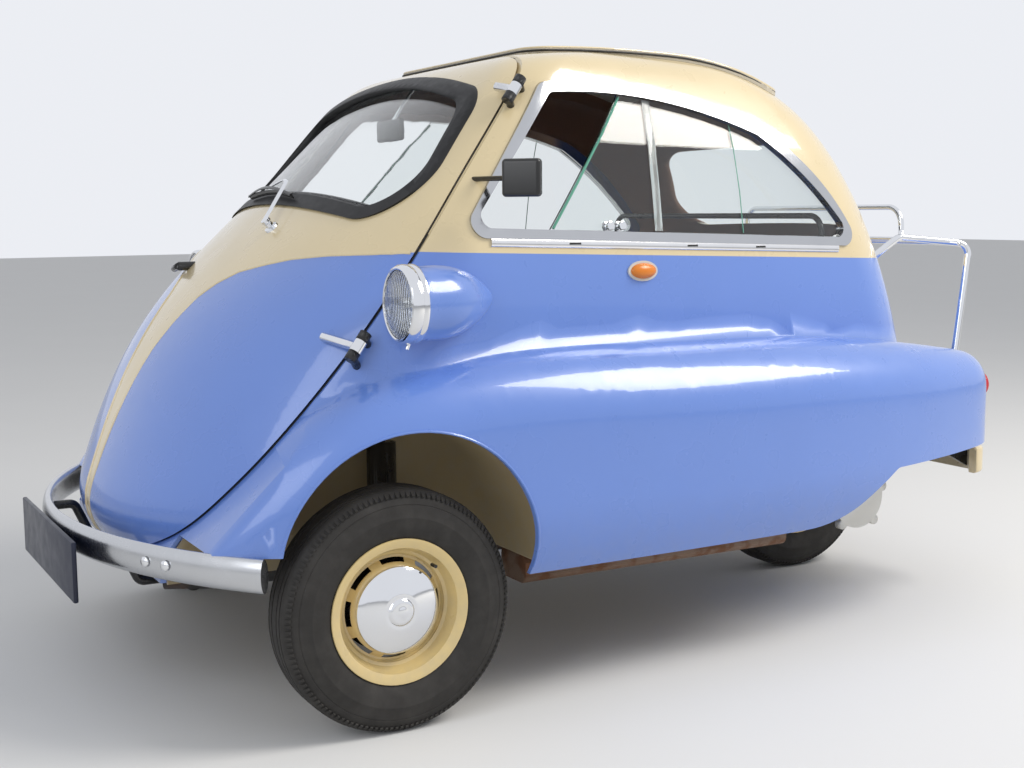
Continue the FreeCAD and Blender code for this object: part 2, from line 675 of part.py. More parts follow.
# Glass and its frames
glass_skin = skin(-size("glass_depth"), -size("glass_depth") - size("glass_thick"))
frame_skin = skin(size("frame_proud"), -WALL)
frame_inner = side_window(size("frame_width"))
frame_ring = side_window(FIT).cut(frame_inner)
low_edge = V(0, station(size("pane_low_y")), belt_z(size("pane_low_y")) + size("window_rise"))
high_edge = V(0, station(size("pane_high_y")), size("window_top_z"))
pane_line = high_edge - low_edge
slid_back = half_space(low_edge, V(0, pane_line.z, -pane_line.y))
pane = side_window(size("frame_width") + FIT).common(slid_back)
for side, name in ((1, "left"), (-1, "right")):
    frame_shape = frame_skin.common(frame_ring)
    glass_shape = glass_skin.common(pane)
    if side < 0:
        frame_shape, glass_shape = mirrored(frame_shape), mirrored(glass_shape)
    feature(f"window_frame_{name}", frame_shape)
    feature(f"side_glass_{name}", glass_shape)


def front_opening(inset):
    """The windscreen outline, smaller by inset all round."""
    return rounded_window(
        size("screen_low_z") + inset, size("screen_high_z") - inset,
        size("screen_low_half") - inset, size("screen_high_half") - inset,
        size("screen_corner") - 0.6 * inset, size("screen_arch"), station(-300.0), station(520.0),
    )


door = OUTER.cut(INNER).common(ahead_of_seam)
door = door.cut(screen_hole)
door = door.common(block((-FAR, station(-900.0), size("door_low_z")), (FAR, station(900.0), 1500.0)))
feature("door_shell", door)
seal_ring = front_opening(FIT).cut(front_opening(size("seal_width")))
seal = skin(size("seal_proud"), -WALL).common(seal_ring).common(ahead_of_seam)
feature("windscreen_seal", seal)
screen = glass_skin.common(front_opening(size("seal_width") + FIT)).common(ahead_of_seam)
feature("windscreen", screen)
rear_pane = rounded_window(
    size("rear_low_z") + FIT, size("rear_high_z") - FIT, size("rear_low_half") - FIT,
    size("rear_high_half") - FIT, size("rear_corner"), size("rear_arch"),
    station(1180.0), station(1700.0),
)
feature("rear_window", glass_skin.common(rear_pane))

canvas = block(
    (-size("canvas_half"), station(size("canvas_front_y")), 1200.0),
    (size("canvas_half"), station(size("canvas_rear_y")), 1500.0),
)
canvas = canvas.makeFillet(55.0, [e for e in canvas.Edges if abs(e.tangentAt(0).z) > 0.99])
feature("canvas_roof", skin(size("canvas_proud"), FIT).common(canvas))


# Floor, wheelhouses and chassis frame
def floor_pan():
    """Floor pressing with the two wheelhouses that stand into the cabin."""
    inside = cabin_solid(-WALL - FIT)
    slab = block(
        (-FAR, station(-330.0), size("floor_z")),
        (FAR, station(size("bulkhead_y")) - FIT, size("floor_z") + size("floor_thick")),
    )
    floor = inside.common(slab).common(half_space(SEAM + V(0, 12, 0), SEAM_NORMAL))
    shells = []
    for side in (1, -1):
        wall = size("liner_wall")
        space = wheel_space("house", 0.0, size("liner_inner_x"), 900.0, side)
        outside = wheel_space(
            "house", wall, size("liner_inner_x") - wall, size("liner_outer_x") - FIT, side
        )
        floor = floor.cut(outside)
        shells.append(outside.cut(space))
    liners = shells[0].fuse(shells[1]).common(half_space(SEAM + V(0, 12, 0), SEAM_NORMAL))
    wing_room = wing_solid(-size("wing_wall") - FIT).cut(wing_edge(size("wing_front_wall") + FIT))
    room = inside.fuse(wing_room)
    liners = liners.common(room).common(
        block((-FAR, station(FRONT_Y), size("floor_z")), (FAR, station(900.0), 1000.0))
    )
    return floor.fuse(liners)


feature("floor_pan", floor_pan())


def bent_tube(points, bends, radius):
    """A round tube along straight runs that are joined by tangent arcs."""
    points = [V(*p) for p in points]
    edges = []
    start = points[0]
    for before, middle, after, bend in zip(points, points[1:], points[2:], bends):
        inward, outward = (before - middle).normalize(), (after - middle).normalize()
        half_turn = inward.getAngle(outward) / 2
        reach = bend / math.tan(half_turn)
        first, last = middle + inward * reach, middle + outward * reach
        centre = middle + (inward + outward).normalize() * (bend / math.sin(half_turn))
        top = centre + (middle - centre).normalize() * bend
        edges.append(line(start, first))
        edges.append(arc(first, top, last))
        start = last
    edges.append(line(start, points[-1]))
    spine = Part.Wire(edges)
    profile = Part.Wire(Part.makeCircle(radius, points[0], points[1] - points[0]))
    return spine.makePipeShell([profile], True, False)


def chassis_frame():
    """Two long tubes with cross tubes, outriggers, kingpin tubes, jacking pads and engine bearers."""
    r, x, z = size("tube_radius"), size("frame_x"), size("frame_z")
    king_x, bush_top = size("kingpin_x"), size("frame_z") + size("kingpin_bush_height")
    nose_y, bend_y, tail_y = (station(y) for y in FRAME_RUN)
    pad, pad_y = size("jack_pad") / 2, station(size("jack_y"))
    pad_low = z - r - size("jack_proud")
    pieces = []
    for side in (1, -1):
        run = [(side * x * 0.8, nose_y, z), (side * x, bend_y, z), (side * x, tail_y, z)]
        pieces.append(bent_tube(run, [150.0], r))
        run = [(side * x, AXLE_Y, z), (side * (king_x - 76.0), AXLE_Y, z),
               (side * king_x, AXLE_Y, z + 54.0)]
        pieces.append(bent_tube(run, [60.0], r - 2.0))
        pieces.append(rod((side * king_x, AXLE_Y, z), (side * king_x, AXLE_Y, bush_top), r))
        pieces.append(block(
            (side * x - pad, pad_y - pad, pad_low), (side * x + pad, pad_y + pad, z - r / 2)))
        shelf_x = side * size("damper_x")
        pieces.append(block(
            (shelf_x - 34.0, AXLE_Y, z + 12.0),
            (shelf_x + 34.0, station(size("damper_y")) + 34.0, z + 24.0),
        ))
    for y in CROSS_TUBES + (size("pivot_y"),):
        pieces.append(rod((-x, station(y), z), (x, station(y), z), CROSS_RADIUS))
    for bearer_x in (-x, -size("bearer_x")):
        pieces.append(rod(
            (bearer_x, station(size("pivot_y")), z), (bearer_x, station(size("bearer_y")), z), r))
    frame = fuse(pieces)
    bore = size("kingpin_radius") + size("running_gap")
    for side in (1, -1):
        frame = frame.cut(rod((side * king_x, AXLE_Y, 0.0), (side * king_x, AXLE_Y, 2 * bush_top), bore))
    return frame


CROSS_RADIUS = 0.9 * size("tube_radius")
feature("chassis_frame", chassis_frame())


# Wheels, each turned about its own X axis and then placed
def revolved(label, outline, placement):
    """A sub-part turned about X from a closed outline of corner points, each bound to the sheet.

    A corner is (along the axle, radius) or (along, radius, bend), where bend is the radius of the
    arc that leads from that corner to the next.
    """
    body = document.addObject("PartDesign::Body", label)
    sketch = body.newObject("Sketcher::SketchObject", f"{label}_outline")
    plane = next(p for p in body.Origin.OriginFeatures if p.Role == "XY_Plane")
    sketch.AttachmentSupport = [(plane, "")]
    sketch.MapMode = "FlatFace"
    corners = [(Size.of(c[0]), Size.of(c[1]), c[2] if len(c) > 2 else None) for c in outline]
    count = len(corners)
    for number, (along, radius, bend) in enumerate(corners):
        next_along, next_radius, _ = corners[(number + 1) % count]
        start = V(along.value, radius.value, 0)
        end = V(next_along.value, next_radius.value, 0)
        if bend is None:
            sketch.addGeometry(Part.LineSegment(start, end), False)
            continue
        chord = end - start
        height = abs(bend.value) - math.sqrt(bend.value**2 - (chord.Length / 2) ** 2)
        side = V(chord.y, -chord.x, 0).normalize() * (height if bend.value > 0 else -height)
        middle = (start + end) * 0.5 + side
        if (middle - start).cross(end - middle).z < 0:
            start, end = end, start
        sketch.addGeometry(Part.Arc(start, middle, end), False)
    for number, (along, radius, bend) in enumerate(corners):
        following = (number + 1) % count
        piece, after = sketch.Geometry[number], sketch.Geometry[following]
        here = V(corners[following][0].value, corners[following][1].value, 0)
        end_point = 2 if (piece.EndPoint - here).Length < 1e-6 else 1
        start_point = 1 if (after.StartPoint - here).Length < 1e-6 else 2
        sketch.addConstraint(Sketcher.Constraint("Coincident", number, end_point, following, start_point))
    for number, (along, radius, bend) in enumerate(corners):
        here = V(along.value, radius.value, 0)
        piece = sketch.Geometry[number]
        point = 1 if (piece.StartPoint - here).Length < 1e-6 else 2
        for kind, axis, amount in (("DistanceX", -2, along), ("DistanceY", -1, radius)):
            if amount.value == 0.0:
                sketch.addConstraint(Sketcher.Constraint("PointOnObject", number, point, axis))
                continue
            index = sketch.addConstraint(Sketcher.Constraint(kind, -1, 1, number, point, amount.value))
            sketch.setExpression(f"Constraints[{index}]", amount.text)
        if bend is not None:
            index = sketch.addConstraint(Sketcher.Constraint("Radius", number, abs(bend.value)))
            sketch.setExpression(f"Constraints[{index}]", bend.text if bend.value > 0 else (-bend).text)
    turned = body.newObject("PartDesign::Revolution", f"{label}_turned")
    turned.Profile = sketch
    turned.ReferenceAxis = (sketch, ["H_Axis"])
    turned.Angle = 360.0
    body.Placement = placement
    return body


def trimmed(label, base, tool):
    """A sub-part that is a piece less a tool."""
    cut = document.addObject("Part::Cut", label)
    cut.Base, cut.Tool = base, tool
    return node(cut, label)


def disc_slots(placement):
    """Curved slots round a wheel disc, as a tool."""
    inner = size("cap_radius") + size("slot_margin")
    outer, depth = inner + size("slot_width"), size("bead_width") / 2
    arc_degrees = size("slot_arc")
    slot = Part.makeCylinder(outer, depth, V(0, 0, 0), V(1, 0, 0), arc_degrees)
    slot = slot.cut(Part.makeCylinder(inner, depth, V(0, 0, 0), V(1, 0, 0)))
    slots = []
    for number in range(int(size("slot_count"))):
        turned = slot.copy()
        turned.rotate(V(0, 0, 0), V(1, 0, 0), number * 360.0 / size("slot_count"))
        slots.append(turned)
    tool = document.addObject("Part::Feature", "disc_slots")
    tool.Shape = Part.Compound(slots)
    tool.Placement = placement
    return tool


def tyre_outline():
    """Half section of a tyre, its beads, walls and tread."""
    half_bead, half_tread = cell("bead_width") / 2 - cell("seat_gap"), cell("tread_width") / 2
    half_wall = cell("tyre_width") / 2
    bead, tread = cell("bead_radius"), cell("tyre_radius")
    middle, flange = (bead + tread) / 2, cell("rim_radius")
    shoulder = tread - 12.0
    return (
        (-(half_bead - 6.0), bead),
        (-half_bead, flange),
        (-half_bead, flange + 3.0, cell("tyre_width") * 0.55),
        (-half_wall, middle, cell("tyre_width") * 0.55),
        (-half_tread, shoulder + 6.0),
        (-(half_tread * 0.8), tread),
        (half_tread * 0.8, tread),
        (half_tread, shoulder + 6.0, cell("tyre_width") * 0.55),
        (half_wall, middle, cell("tyre_width") * 0.55),
        (half_bead, flange + 3.0),
        (half_bead, flange),
        (half_bead - 6.0, bead),
        (half_bead - 14.0, bead),
        (half_bead - 18.0, middle),
        (half_tread - 12.0, tread - 18.0),
        (-(half_tread - 12.0), tread - 18.0),
        (-(half_bead - 18.0), middle),
        (-(half_bead - 14.0), bead),
    )


def rim_outline():
    """Section of a drop-centre rim with its disc and hub, outer face towards plus X."""
    half = cell("bead_width") / 2
    rim, well, disc, cap = cell("rim_radius"), cell("well_radius"), cell("disc_radius"), cell("cap_radius")
    bead = cell("bead_radius") - cell("seat_gap")
    sheet_wall = cell("rim_wall")
    hub, bore = cell("hub_radius"), cell("hub_bore")
    return (
        (-half - sheet_wall, rim),
        (-half, rim),
        (-(half - 6.0), bead),
        (-(half - 24.0), bead - 4.0),
        (-(half - 32.0), well),
        (half - 40.0, well),
        (half - 28.0, bead - 4.0),
        (half - 6.0, bead),
        (half, rim),
        (half + sheet_wall, rim),
        (half - 4.0, bead - sheet_wall),
        (half - 24.0, bead - 9.0),
        (half - 38.0, disc),
        (half - 30.0, disc - 5.0),
        (half - 18.0, cap + 1.0),
        (half - 18.0, hub),
        (half - 14.0, hub),
        (half - 14.0, bore),
        (-(half - 20.0), bore),
        (-(half - 20.0), hub),
        (half - 24.0, hub),
        (half - 24.0, cap - 3.0),
        (half - 38.0, disc - 9.0),
        (half - 44.0, well - sheet_wall),
        (-(half - 30.0), well - sheet_wall),
        (-(half - 22.0), bead - 9.0),
        (-(half - 4.0), bead - sheet_wall),
    )


def cap_outline():
    """Section of the domed hub cap."""
    seat = cell("bead_width") / 2 - 18.0 + cell("seat_gap")
    radius, height = cell("cap_radius"), cell("cap_height")
    return (
        (seat, radius - 6.0),
        (seat, radius),
        (seat + 5.0, radius, radius * -1.0),
        (seat + height * 0.86, radius * 0.36),
        (seat + height * 0.86, radius * 0.27),
        (seat + height, radius * 0.22),
        (seat + height, 0.0),
        (seat + height - 3.0, 0.0),
        (seat + height * 0.7, radius * 0.3),
        (seat + 4.0, radius - 8.0),
    )


def wheel_place(side):
    """Where a wheel stands: its middle, and its outer face turned outwards."""
    if side == 0:
        return FreeCAD.Placement(V(0, REAR_AXLE_Y, size("tyre_radius")), FreeCAD.Rotation())
    turn = FreeCAD.Rotation(V(0, 0, 1), 0 if side > 0 else 180)
    middle = V(side * size("front_track") / 2, AXLE_Y, size("tyre_radius"))
    return FreeCAD.Placement(middle, turn)


for side, name in ((1, "front_left"), (-1, "front_right"), (0, "rear")):
    place = wheel_place(side)
    node(revolved(f"tyre_{name}", tyre_outline(), place), f"tyre_{name}")
    pressed = revolved(f"rim_{name}_pressed", rim_outline(), place)
    trimmed(f"rim_{name}", pressed, disc_slots(place))
    if side:
        node(revolved(f"hub_cap_{name}", cap_outline(), place), f"hub_cap_{name}")


def knuckle(side):
    """Kingpin, its two arms and the stub axle with its brake drum."""
    king_x, pin = size("kingpin_x"), size("kingpin_radius")
    low, high = size("frame_z"), size("frame_z") + 80.0
    axle_z = size("tyre_radius")
    half = size("bead_width") / 2
    track = size("front_track") / 2
    y = AXLE_Y
    stub_end = track + half - 16.0
    pieces = [
        rod((king_x, y, low - 28.0), (king_x, y, high + 28.0), pin),
        block((king_x - 22.0, y - 22.0, low - 28.0), (king_x + 70.0, y + 22.0, low - FIT)),
        block((king_x - 22.0, y - 22.0, high + FIT), (king_x + 70.0, y + 22.0, high + 28.0)),
        block((king_x + 50.0, y - 22.0, low - 28.0), (king_x + 70.0, y + 22.0, high + 28.0)),
        rod((king_x + 60.0, y, axle_z), (stub_end, y, axle_z), size("hub_bore") - size("running_gap")),
        rod((king_x + 69.0, y, axle_z), (track - half + 12.0, y, axle_z), 92.0),
    ]
    shape = fuse(pieces)
    return shape if side > 0 else mirrored(shape)


for side, name in ((1, "left"), (-1, "right")):
    feature(f"knuckle_{name}", knuckle(side))


# Rear axle with its chain case, engine and exhaust
def chain_case():
    """The rear wheel's arm: a flat case left of the wheel with the axle and an eared end cover."""
    front = V(0, station(size("pivot_y")), size("frame_z"))
    rear = V(0, REAR_AXLE_Y, size("tyre_radius"))
    near_x, far_x = size("case_near_x"), size("case_far_x")
    front_r, rear_r = size("case_front_radius"), size("case_rear_radius")
    boss_x, cover_x = size("case_boss_x"), size("case_cover_x")
    case = []
    for middle, radius in ((front, front_r), (rear, rear_r)):
        case.append(rod((near_x, middle.y, middle.z), (far_x, middle.y, middle.z), radius))
    along = (rear - front).normalize()
    across = V(0, -along.z, along.y)
    corners = [front + across * front_r, rear + across * rear_r,
               rear - across * rear_r, front - across * front_r]
    corners = [V(near_x, p.y, p.z) for p in corners]
    case.append(Part.Face(Part.makePolygon(corners + corners[:1])).extrude(V(far_x - near_x, 0, 0)))
    case.append(rod((far_x - 2.0, rear.y, rear.z), (boss_x + 2.0, rear.y, rear.z), rear_r * 0.62))
    case.append(rod((boss_x, rear.y, rear.z), (cover_x, rear.y, rear.z), size("cover_radius")))
    for angle in COVER_EARS:
        turn = math.radians(angle)
        ear_y = rear.y + math.cos(turn) * size("ear_reach")
        ear_z = rear.z + math.sin(turn) * size("ear_reach")
        case.append(rod((boss_x, ear_y, ear_z), (cover_x, ear_y, ear_z), size("ear_radius")))
    axle_end = -(size("bead_width") / 2 - 14.0) - 20.0
    axle_radius = size("hub_bore") - size("running_gap")
    case.append(rod((axle_end, rear.y, rear.z), (near_x + 10.0, rear.y, rear.z), axle_radius))
    pivot_bore = rod((-FAR, front.y, front.z), (FAR, front.y, front.z), CROSS_RADIUS + FIT)
    return fuse(case).cut(pivot_bore)


feature("chain_case", chain_case())

engine = document.addObject("Part::Box", "engine_block")
bind(engine, Length=cell("engine_width"), Width=cell("engine_length"), Height=cell("engine_height"))
engine.Placement = FreeCAD.Placement(
    V(size("engine_x"), station(size("engine_y")), size("frame_z") + size("tube_radius") + FIT),
    FreeCAD.Rotation(),
)
node(engine, "engine_block")

can = document.addObject("Part::Cylinder", "silencer_can")
bind(can, Radius=cell("silencer_radius"), Height=cell("silencer_length"))
can.Placement = FreeCAD.Placement(
    V(size("engine_x"), station(size("silencer_y")), size("silencer_z")),
    FreeCAD.Rotation(V(0, 1, 0), 90),
)
pipe = document.addObject("Part::Cylinder", "silencer_pipe")
pipe_length = cell("silencer_y") - cell("engine_y") - cell("engine_length") - cell("seat_gap")
bind(pipe, Radius=cell("pipe_radius"), Height=pipe_length)
pipe.Placement = FreeCAD.Placement(
    V(size("pipe_x"), station(size("silencer_y")), size("silencer_z")), FreeCAD.Rotation(V(1, 0, 0), 90)
)
silencer = document.addObject("Part::Fuse", "silencer")
silencer.Base, silencer.Tool = can, pipe
node(silencer, "silencer")

duct = block(
    (size("duct_inner_x"), station(size("duct_front_y")), size("duct_low_z")),
    (size("duct_outer_x"), station(size("duct_rear_y")), size("duct_high_z")),
)
duct = duct.makeFillet(20.0, [e for e in duct.Edges if abs(e.tangentAt(0).y) > 0.99])
feature("sill_duct", duct)

dampers = []
shelf_z = size("frame_z") + size("tube_radius") + FIT
for side in (1, -1):
    x, y = side * size("damper_x"), station(size("damper_y"))
    rise = math.sqrt(size("house_radius")**2 - (size("damper_y") - size("house_y") + 9.0)**2)
    dampers.append(fuse([
        rod((x, y, shelf_z), (x, y, size("damper_top_z")), size("damper_radius")),
        rod((x, y, shelf_z), (x, y, size("house_z") + rise - FIT), size("damper_rod_radius")),
    ]))
feature("front_dampers", Part.Compound(dampers))


# Headlamps
def lamp_pod(side):
    """Teardrop pod lofted through circles that lean in towards the cabin."""
    rings = []
    for behind, radius, shift in POD:
        middle = V(side * (size("lamp_x") - shift), station(size("lamp_y")) + behind, size("lamp_z"))
        rings.append(Part.Wire(Part.makeCircle(radius, middle, V(0, 1, 0))))
    return Part.makeLoft(rings, True, False)


ring = cell("lamp_radius") + cell("ring_proud")
ring_outline = (
    (-10.0, 0.0),
    (-6.0, ring * 0.5),
    (0.0, ring * 0.86),
    (0.0, ring),
    (cell("ring_length") - cell("seat_gap"), ring),
    (cell("ring_length") - cell("seat_gap"), 0.0),
)
CLEARANCE = cabin_solid(FIT)
cabin_tool = document.addObject("Part::Feature", "cabin_clearance")
cabin_tool.Shape = CLEARANCE
door_tool = document.addObject("Part::Feature", "door_clearance")
door_tool.Shape = cabin_solid(size("door_clearance"))
lamp_turn = FreeCAD.Rotation(V(0, 0, 1), 90)
for side, name in ((1, "left"), (-1, "right")):
    pod = document.addObject("Part::Feature", f"headlamp_pod_{name}_lofted")
    pod.Shape = lamp_pod(side)
    trimmed(f"headlamp_pod_{name}", pod, cabin_tool)
    lamp_middle = V(side * size("lamp_x"), station(size("lamp_y")), size("lamp_z"))
    rim_ring = revolved(
        f"headlamp_{name}_turned", ring_outline, FreeCAD.Placement(lamp_middle, lamp_turn))
    trimmed(f"headlamp_{name}", rim_ring, door_tool)


# Door hinges
def hinge_middle(which):
    """Middle of the lower or upper hinge, just ahead of the seam plane."""
    z = size(f"hinge_{which}_z")
    on_seam = V(size(f"hinge_{which}_x"), station(size("seam_foot_y") + size("seam_slope") * z), z)
    return on_seam - SEAM_NORMAL * size("hinge_proud")


def along_hinge(middle, start, length, radius):
    """A round piece on the hinge's axis that starts at a distance from the hinge's middle."""
    return Part.makeCylinder(radius, length, middle + HINGE_LINE * start, HINGE_LINE)


def square_to_hinge(arm):
    """An arm turned square to the hinge's axis."""
    return arm - HINGE_LINE * arm.dot(HINGE_LINE)


HINGE_LINE = (hinge_middle("high") - hinge_middle("low")).normalize()
pin_radius, knuckle_radius = size("hinge_pin_radius"), size("hinge_knuckle_radius")
ear, span, arm_radius = size("hinge_ear"), size("hinge_span"), size("hinge_arm_radius")
pins, straps = [], []
for which in ("low", "high"):
    middle = hinge_middle(which)
    pieces = [along_hinge(middle, -span / 2, span, pin_radius)]
    for start in (-span / 2, span / 2 - ear):
        foot = middle + HINGE_LINE * (start + ear / 2)
        pieces.append(along_hinge(middle, start, ear, knuckle_radius))
        pieces.append(rod(foot, foot + square_to_hinge(PIN_ARM), arm_radius - 1.0))
    pins.append(fuse(pieces).cut(CLEARANCE))
    gap = span - 2 * ear - 2.0
    barrel = along_hinge(middle, -gap / 2, gap, knuckle_radius)
    arm = rod(middle, middle + square_to_hinge(STRAP_ARMS[which]), arm_radius)
    bore = along_hinge(middle, -FAR / 2, FAR, pin_radius + size("running_gap"))
    straps.append(fuse([barrel, arm]).cut(CLEARANCE).cut(bore))
feature("hinge_pins", Part.Compound(pins))
feature("hinge_straps", Part.Compound(straps))


# Seat and luggage rail
def soft_block(low, high, radius):
    """A padded block with every edge rounded."""
    shape = block(low, high)
    return shape.makeFillet(radius, shape.Edges)


def seat_base():
    """Open-bottomed box that carries the cushion."""
    half, wall = size("seat_half") - 30.0, 18.0
    front_y, rear_y = station(size("seat_front_y") + 30.0), station(size("seat_rear_y") - 30.0)
    low_z, high_z = size("floor_z") + size("floor_thick") + FIT, size("seat_low_z") - FIT
    outside = block((-half, front_y, low_z), (half, rear_y, high_z))
    return outside.cut(
        block((-half + wall, front_y + wall, 0.0), (half - wall, rear_y - wall, high_z - wall))
    )


feature("seat_base", seat_base())
feature("seat_cushion", soft_block(
    (-size("seat_half"), station(size("seat_front_y")), size("seat_low_z")),
    (size("seat_half"), station(size("seat_rear_y")), size("seat_high_z")), size("cushion_round")))
back_round, lean = size("cushion_round"), math.radians(size("back_lean"))
back_shape = soft_block(
    (-size("seat_half"), 0.0, 0.0), (size("seat_half"), size("back_thick"), size("back_height")), back_round)
back_rise = (size("back_thick") - back_round) * math.sin(lean) + back_round * (1 - math.cos(lean)) + FIT
feature("seat_back", back_shape, FreeCAD.Placement(
    V(0, station(size("back_y")), size("seat_high_z") + back_rise),
    FreeCAD.Rotation(V(1, 0, 0), -size("back_lean"))))
rail_x, rail_y, rail_z = size("rail_half"), station(size("rail_y")), size("rail_z")
feature("parcel_rail", bent_tube(
    [(-rail_x, rail_y, size("shelf_z") + FIT), (-rail_x, rail_y, rail_z),
     (rail_x, rail_y, rail_z), (rail_x, rail_y, size("shelf_z") + FIT)],
    [40.0, 40.0], size("rail_radius")))


# Steering column and wheel, carried by the door
def steering_column(inside):
    """Column with its stay to the door, trimmed to the door's inner skin."""
    pieces = [
        rod(COLUMN_FOOT, COLUMN_HEAD, size("column_radius")),
        rod(COLUMN_FOOT + COLUMN_LINE * size("stay_reach"), STAY_END, size("stay_radius")),
    ]
    return fuse(pieces).common(inside)


def steering_wheel():
    """Rim, boss and two spokes about the column's own line."""
    reach, boss, depth = size("wheel_rim_radius"), size("boss_radius"), size("boss_depth")
    spoke_half = size("spoke_width") / 2
    pieces = [
        Part.makeTorus(reach, size("wheel_grip_radius")),
        Part.makeCylinder(boss, depth + 10.0, V(0, 0, -depth)),
    ]
    for angle in (0.0, 180.0):
        spoke = block((0.0, -spoke_half, -6.0), (reach, spoke_half, size("spoke_thick") - 6.0))
        spoke.rotate(V(0, 0, 0), V(0, 0, 1), angle)
        pieces.append(spoke)
    return fuse(pieces)


COLUMN_FOOT = V(size("column_x"), station(-130.0), 330.0)
COLUMN_HEAD = V(size("column_x"), station(310.0), 745.0)
COLUMN_LINE = (COLUMN_HEAD - COLUMN_FOOT).normalize()
STAY_END = (size("column_x"), station(-300.0), 700.0)
POD_FOOT = (size("column_x"), station(-110.0), 866.0)
POD_FACE = (size("column_x"), station(58.0), 906.0)
inside_door = cabin_solid(-WALL - FIT)
feature("steering_column", steering_column(inside_door))
feature("steering_wheel", steering_wheel(), FreeCAD.Placement(
    COLUMN_HEAD + COLUMN_LINE * (size("boss_depth") + FIT), FreeCAD.Rotation(V(0, 0, 1), COLUMN_LINE)))
pod = rod(POD_FOOT, POD_FACE, size("pod_radius"))
feature("instrument_pod", pod.common(inside_door))


# Bumpers, lamps and fittings
def bumper_band(grow):
    """A band bent to one arc in plan, grown on its inner face."""
    nose, end = station(size("bumper_nose_y")), station(size("bumper_end_y"))
    half, thick, low = size("bumper_half"), size("bumper_thick") + grow, size("bumper_low_z")
    inner_half, inner_end = half - 8.0, end + 4.0
    edges = (
        arc(V(-half, end, low), V(0, nose, low), V(half, end, low)),
        line(V(half, end, low), V(inner_half, inner_end, low)),
        arc(V(inner_half, inner_end, low), V(0, nose + thick, low), V(-inner_half, inner_end, low)),
        line(V(-inner_half, inner_end, low), V(-half, end, low)),
    )
    return Part.Face(Part.Wire(edges)).extrude(V(0, 0, size("bumper_height")))


band = bumper_band(0.0)
long_edges = [e for e in band.Edges if e.Length > 2 * size("bumper_half")]
outer_edges = [e for e in long_edges if e.CenterOfMass.y < min(x.CenterOfMass.y for x in long_edges) + 1.0]
feature("front_bumper", band.makeFillet(size("bumper_round"), outer_edges).cut(wing_solid(FIT)))

brackets = []
bracket_z = size("bumper_low_z") + size("bumper_height") / 2
for side in (1, -1):
    x, start_y = side * size("frame_x") * 0.8, station(FRAME_RUN[0])
    run = [(x, start_y, size("frame_z")), (x, start_y - 52.0, size("frame_z")),
           (x, start_y - 92.0, bracket_z), (x, station(size("bumper_nose_y")) + 38.0, bracket_z)]
    tube_end = V(x, start_y, size("frame_z"))
    tube_bend = V(side * size("frame_x"), station(FRAME_RUN[1]), size("frame_z"))
    tube_line = (tube_end - tube_bend).normalize()
    tube_room = rod(tube_bend, tube_end + tube_line * FIT, size("tube_radius") + FIT)
    brackets.append(bent_tube(run, [18.0, 18.0], 10.0).cut(bumper_band(FIT)).cut(tube_room))
feature("bumper_brackets", Part.Compound(brackets))


def rear_corner():
    """Left corner of the rear bumper, bent forwards at its outer end."""
    outer, inner = size("corner_outer_x"), size("corner_inner_x")
    face, thick, low = station(size("corner_face_y")), size("corner_thick"), size("corner_low_z")
    bend = size("corner_bend")
    edges = (
        line(V(inner, face, low), V(outer - bend, face, low)),
        arc(V(outer - bend, face, low),
            V(outer - bend + bend * math.sqrt(0.5), face - bend + bend * math.sqrt(0.5), low),
            V(outer, face - bend, low)),
        line(V(outer, face - bend, low), V(outer - thick, face - bend, low)),
        line(V(outer - thick, face - bend, low), V(outer - bend, face - thick, low)),
        line(V(outer - bend, face - thick, low), V(inner, face - thick, low)),
        line(V(inner, face - thick, low), V(inner, face, low)),
    )
    corner = Part.Face(Part.Wire(edges)).extrude(V(0, 0, size("corner_height")))
    return corner.makeFillet(8.0, [e for e in corner.Edges if e.Length > 0.4 * (outer - inner)
                                   and e.CenterOfMass.y > face - 1.0])


def rear_bracket():
    """Three-cornered plate that carries the left rear corner from the tail's inner face."""
    x, face = size("corner_bracket_x"), station(size("corner_face_y")) - size("corner_thick") - FIT
    low = size("corner_low_z")
    skin_y = station(WINGS[-1][0] - size("wing_wall")) - FIT
    under = size("tail_low_z") - 8.0
    corners = [V(x, face, low + 8.0), V(x, face, low + 54.0), V(x, skin_y, under),
               V(x, skin_y, under + 70.0), V(x, skin_y - 90.0, under + 70.0), V(x, skin_y - 90.0, under)]
    return Part.Face(Part.makePolygon(corners + corners[:1])).extrude(V(8.0, 0, 0))


tail_y = station(WINGS[-1][0]) + FIT
lamp_line = (size("tail_lamp_x"), size("tail_lamp_z"))
left_pieces = {
    "rear_bumpers": rear_corner(),
    "rear_brackets": rear_bracket(),
    "tail_lamps": rod(
        (lamp_line[0], tail_y, lamp_line[1]), (lamp_line[0], tail_y + 36.0, lamp_line[1]), 32.0),
    "side_indicators": rod(
        (540.0, station(size("side_lamp_y")), size("side_lamp_z")),
        (596.0, station(size("side_lamp_y")), size("side_lamp_z")), 18.0).cut(CLEARANCE),
}
for name, shape in left_pieces.items():
    feature(name, Part.Compound([shape, mirrored(shape)]))

mirror_z, mirror_y = size("mirror_z"), station(size("mirror_y"))
half, thick = size("mirror_half"), size("mirror_thick") / 2
mirror_head = soft_block((-thick, -half, -half + 2.0), (thick, half, half - 2.0), 8.0)
mirror_head.rotate(V(0, 0, 0), V(0, 0, 1), -45.0)
mirror_head.translate(V(size("mirror_x"), mirror_y, mirror_z))
mirror_root = (size("mirror_x") - 144.0, mirror_y - 40.0, mirror_z)
mirror_arm = rod(mirror_root, (size("mirror_x"), mirror_y, mirror_z), 5.0)
feature("mirror", fuse([mirror_head, mirror_arm]).cut(CLEARANCE))

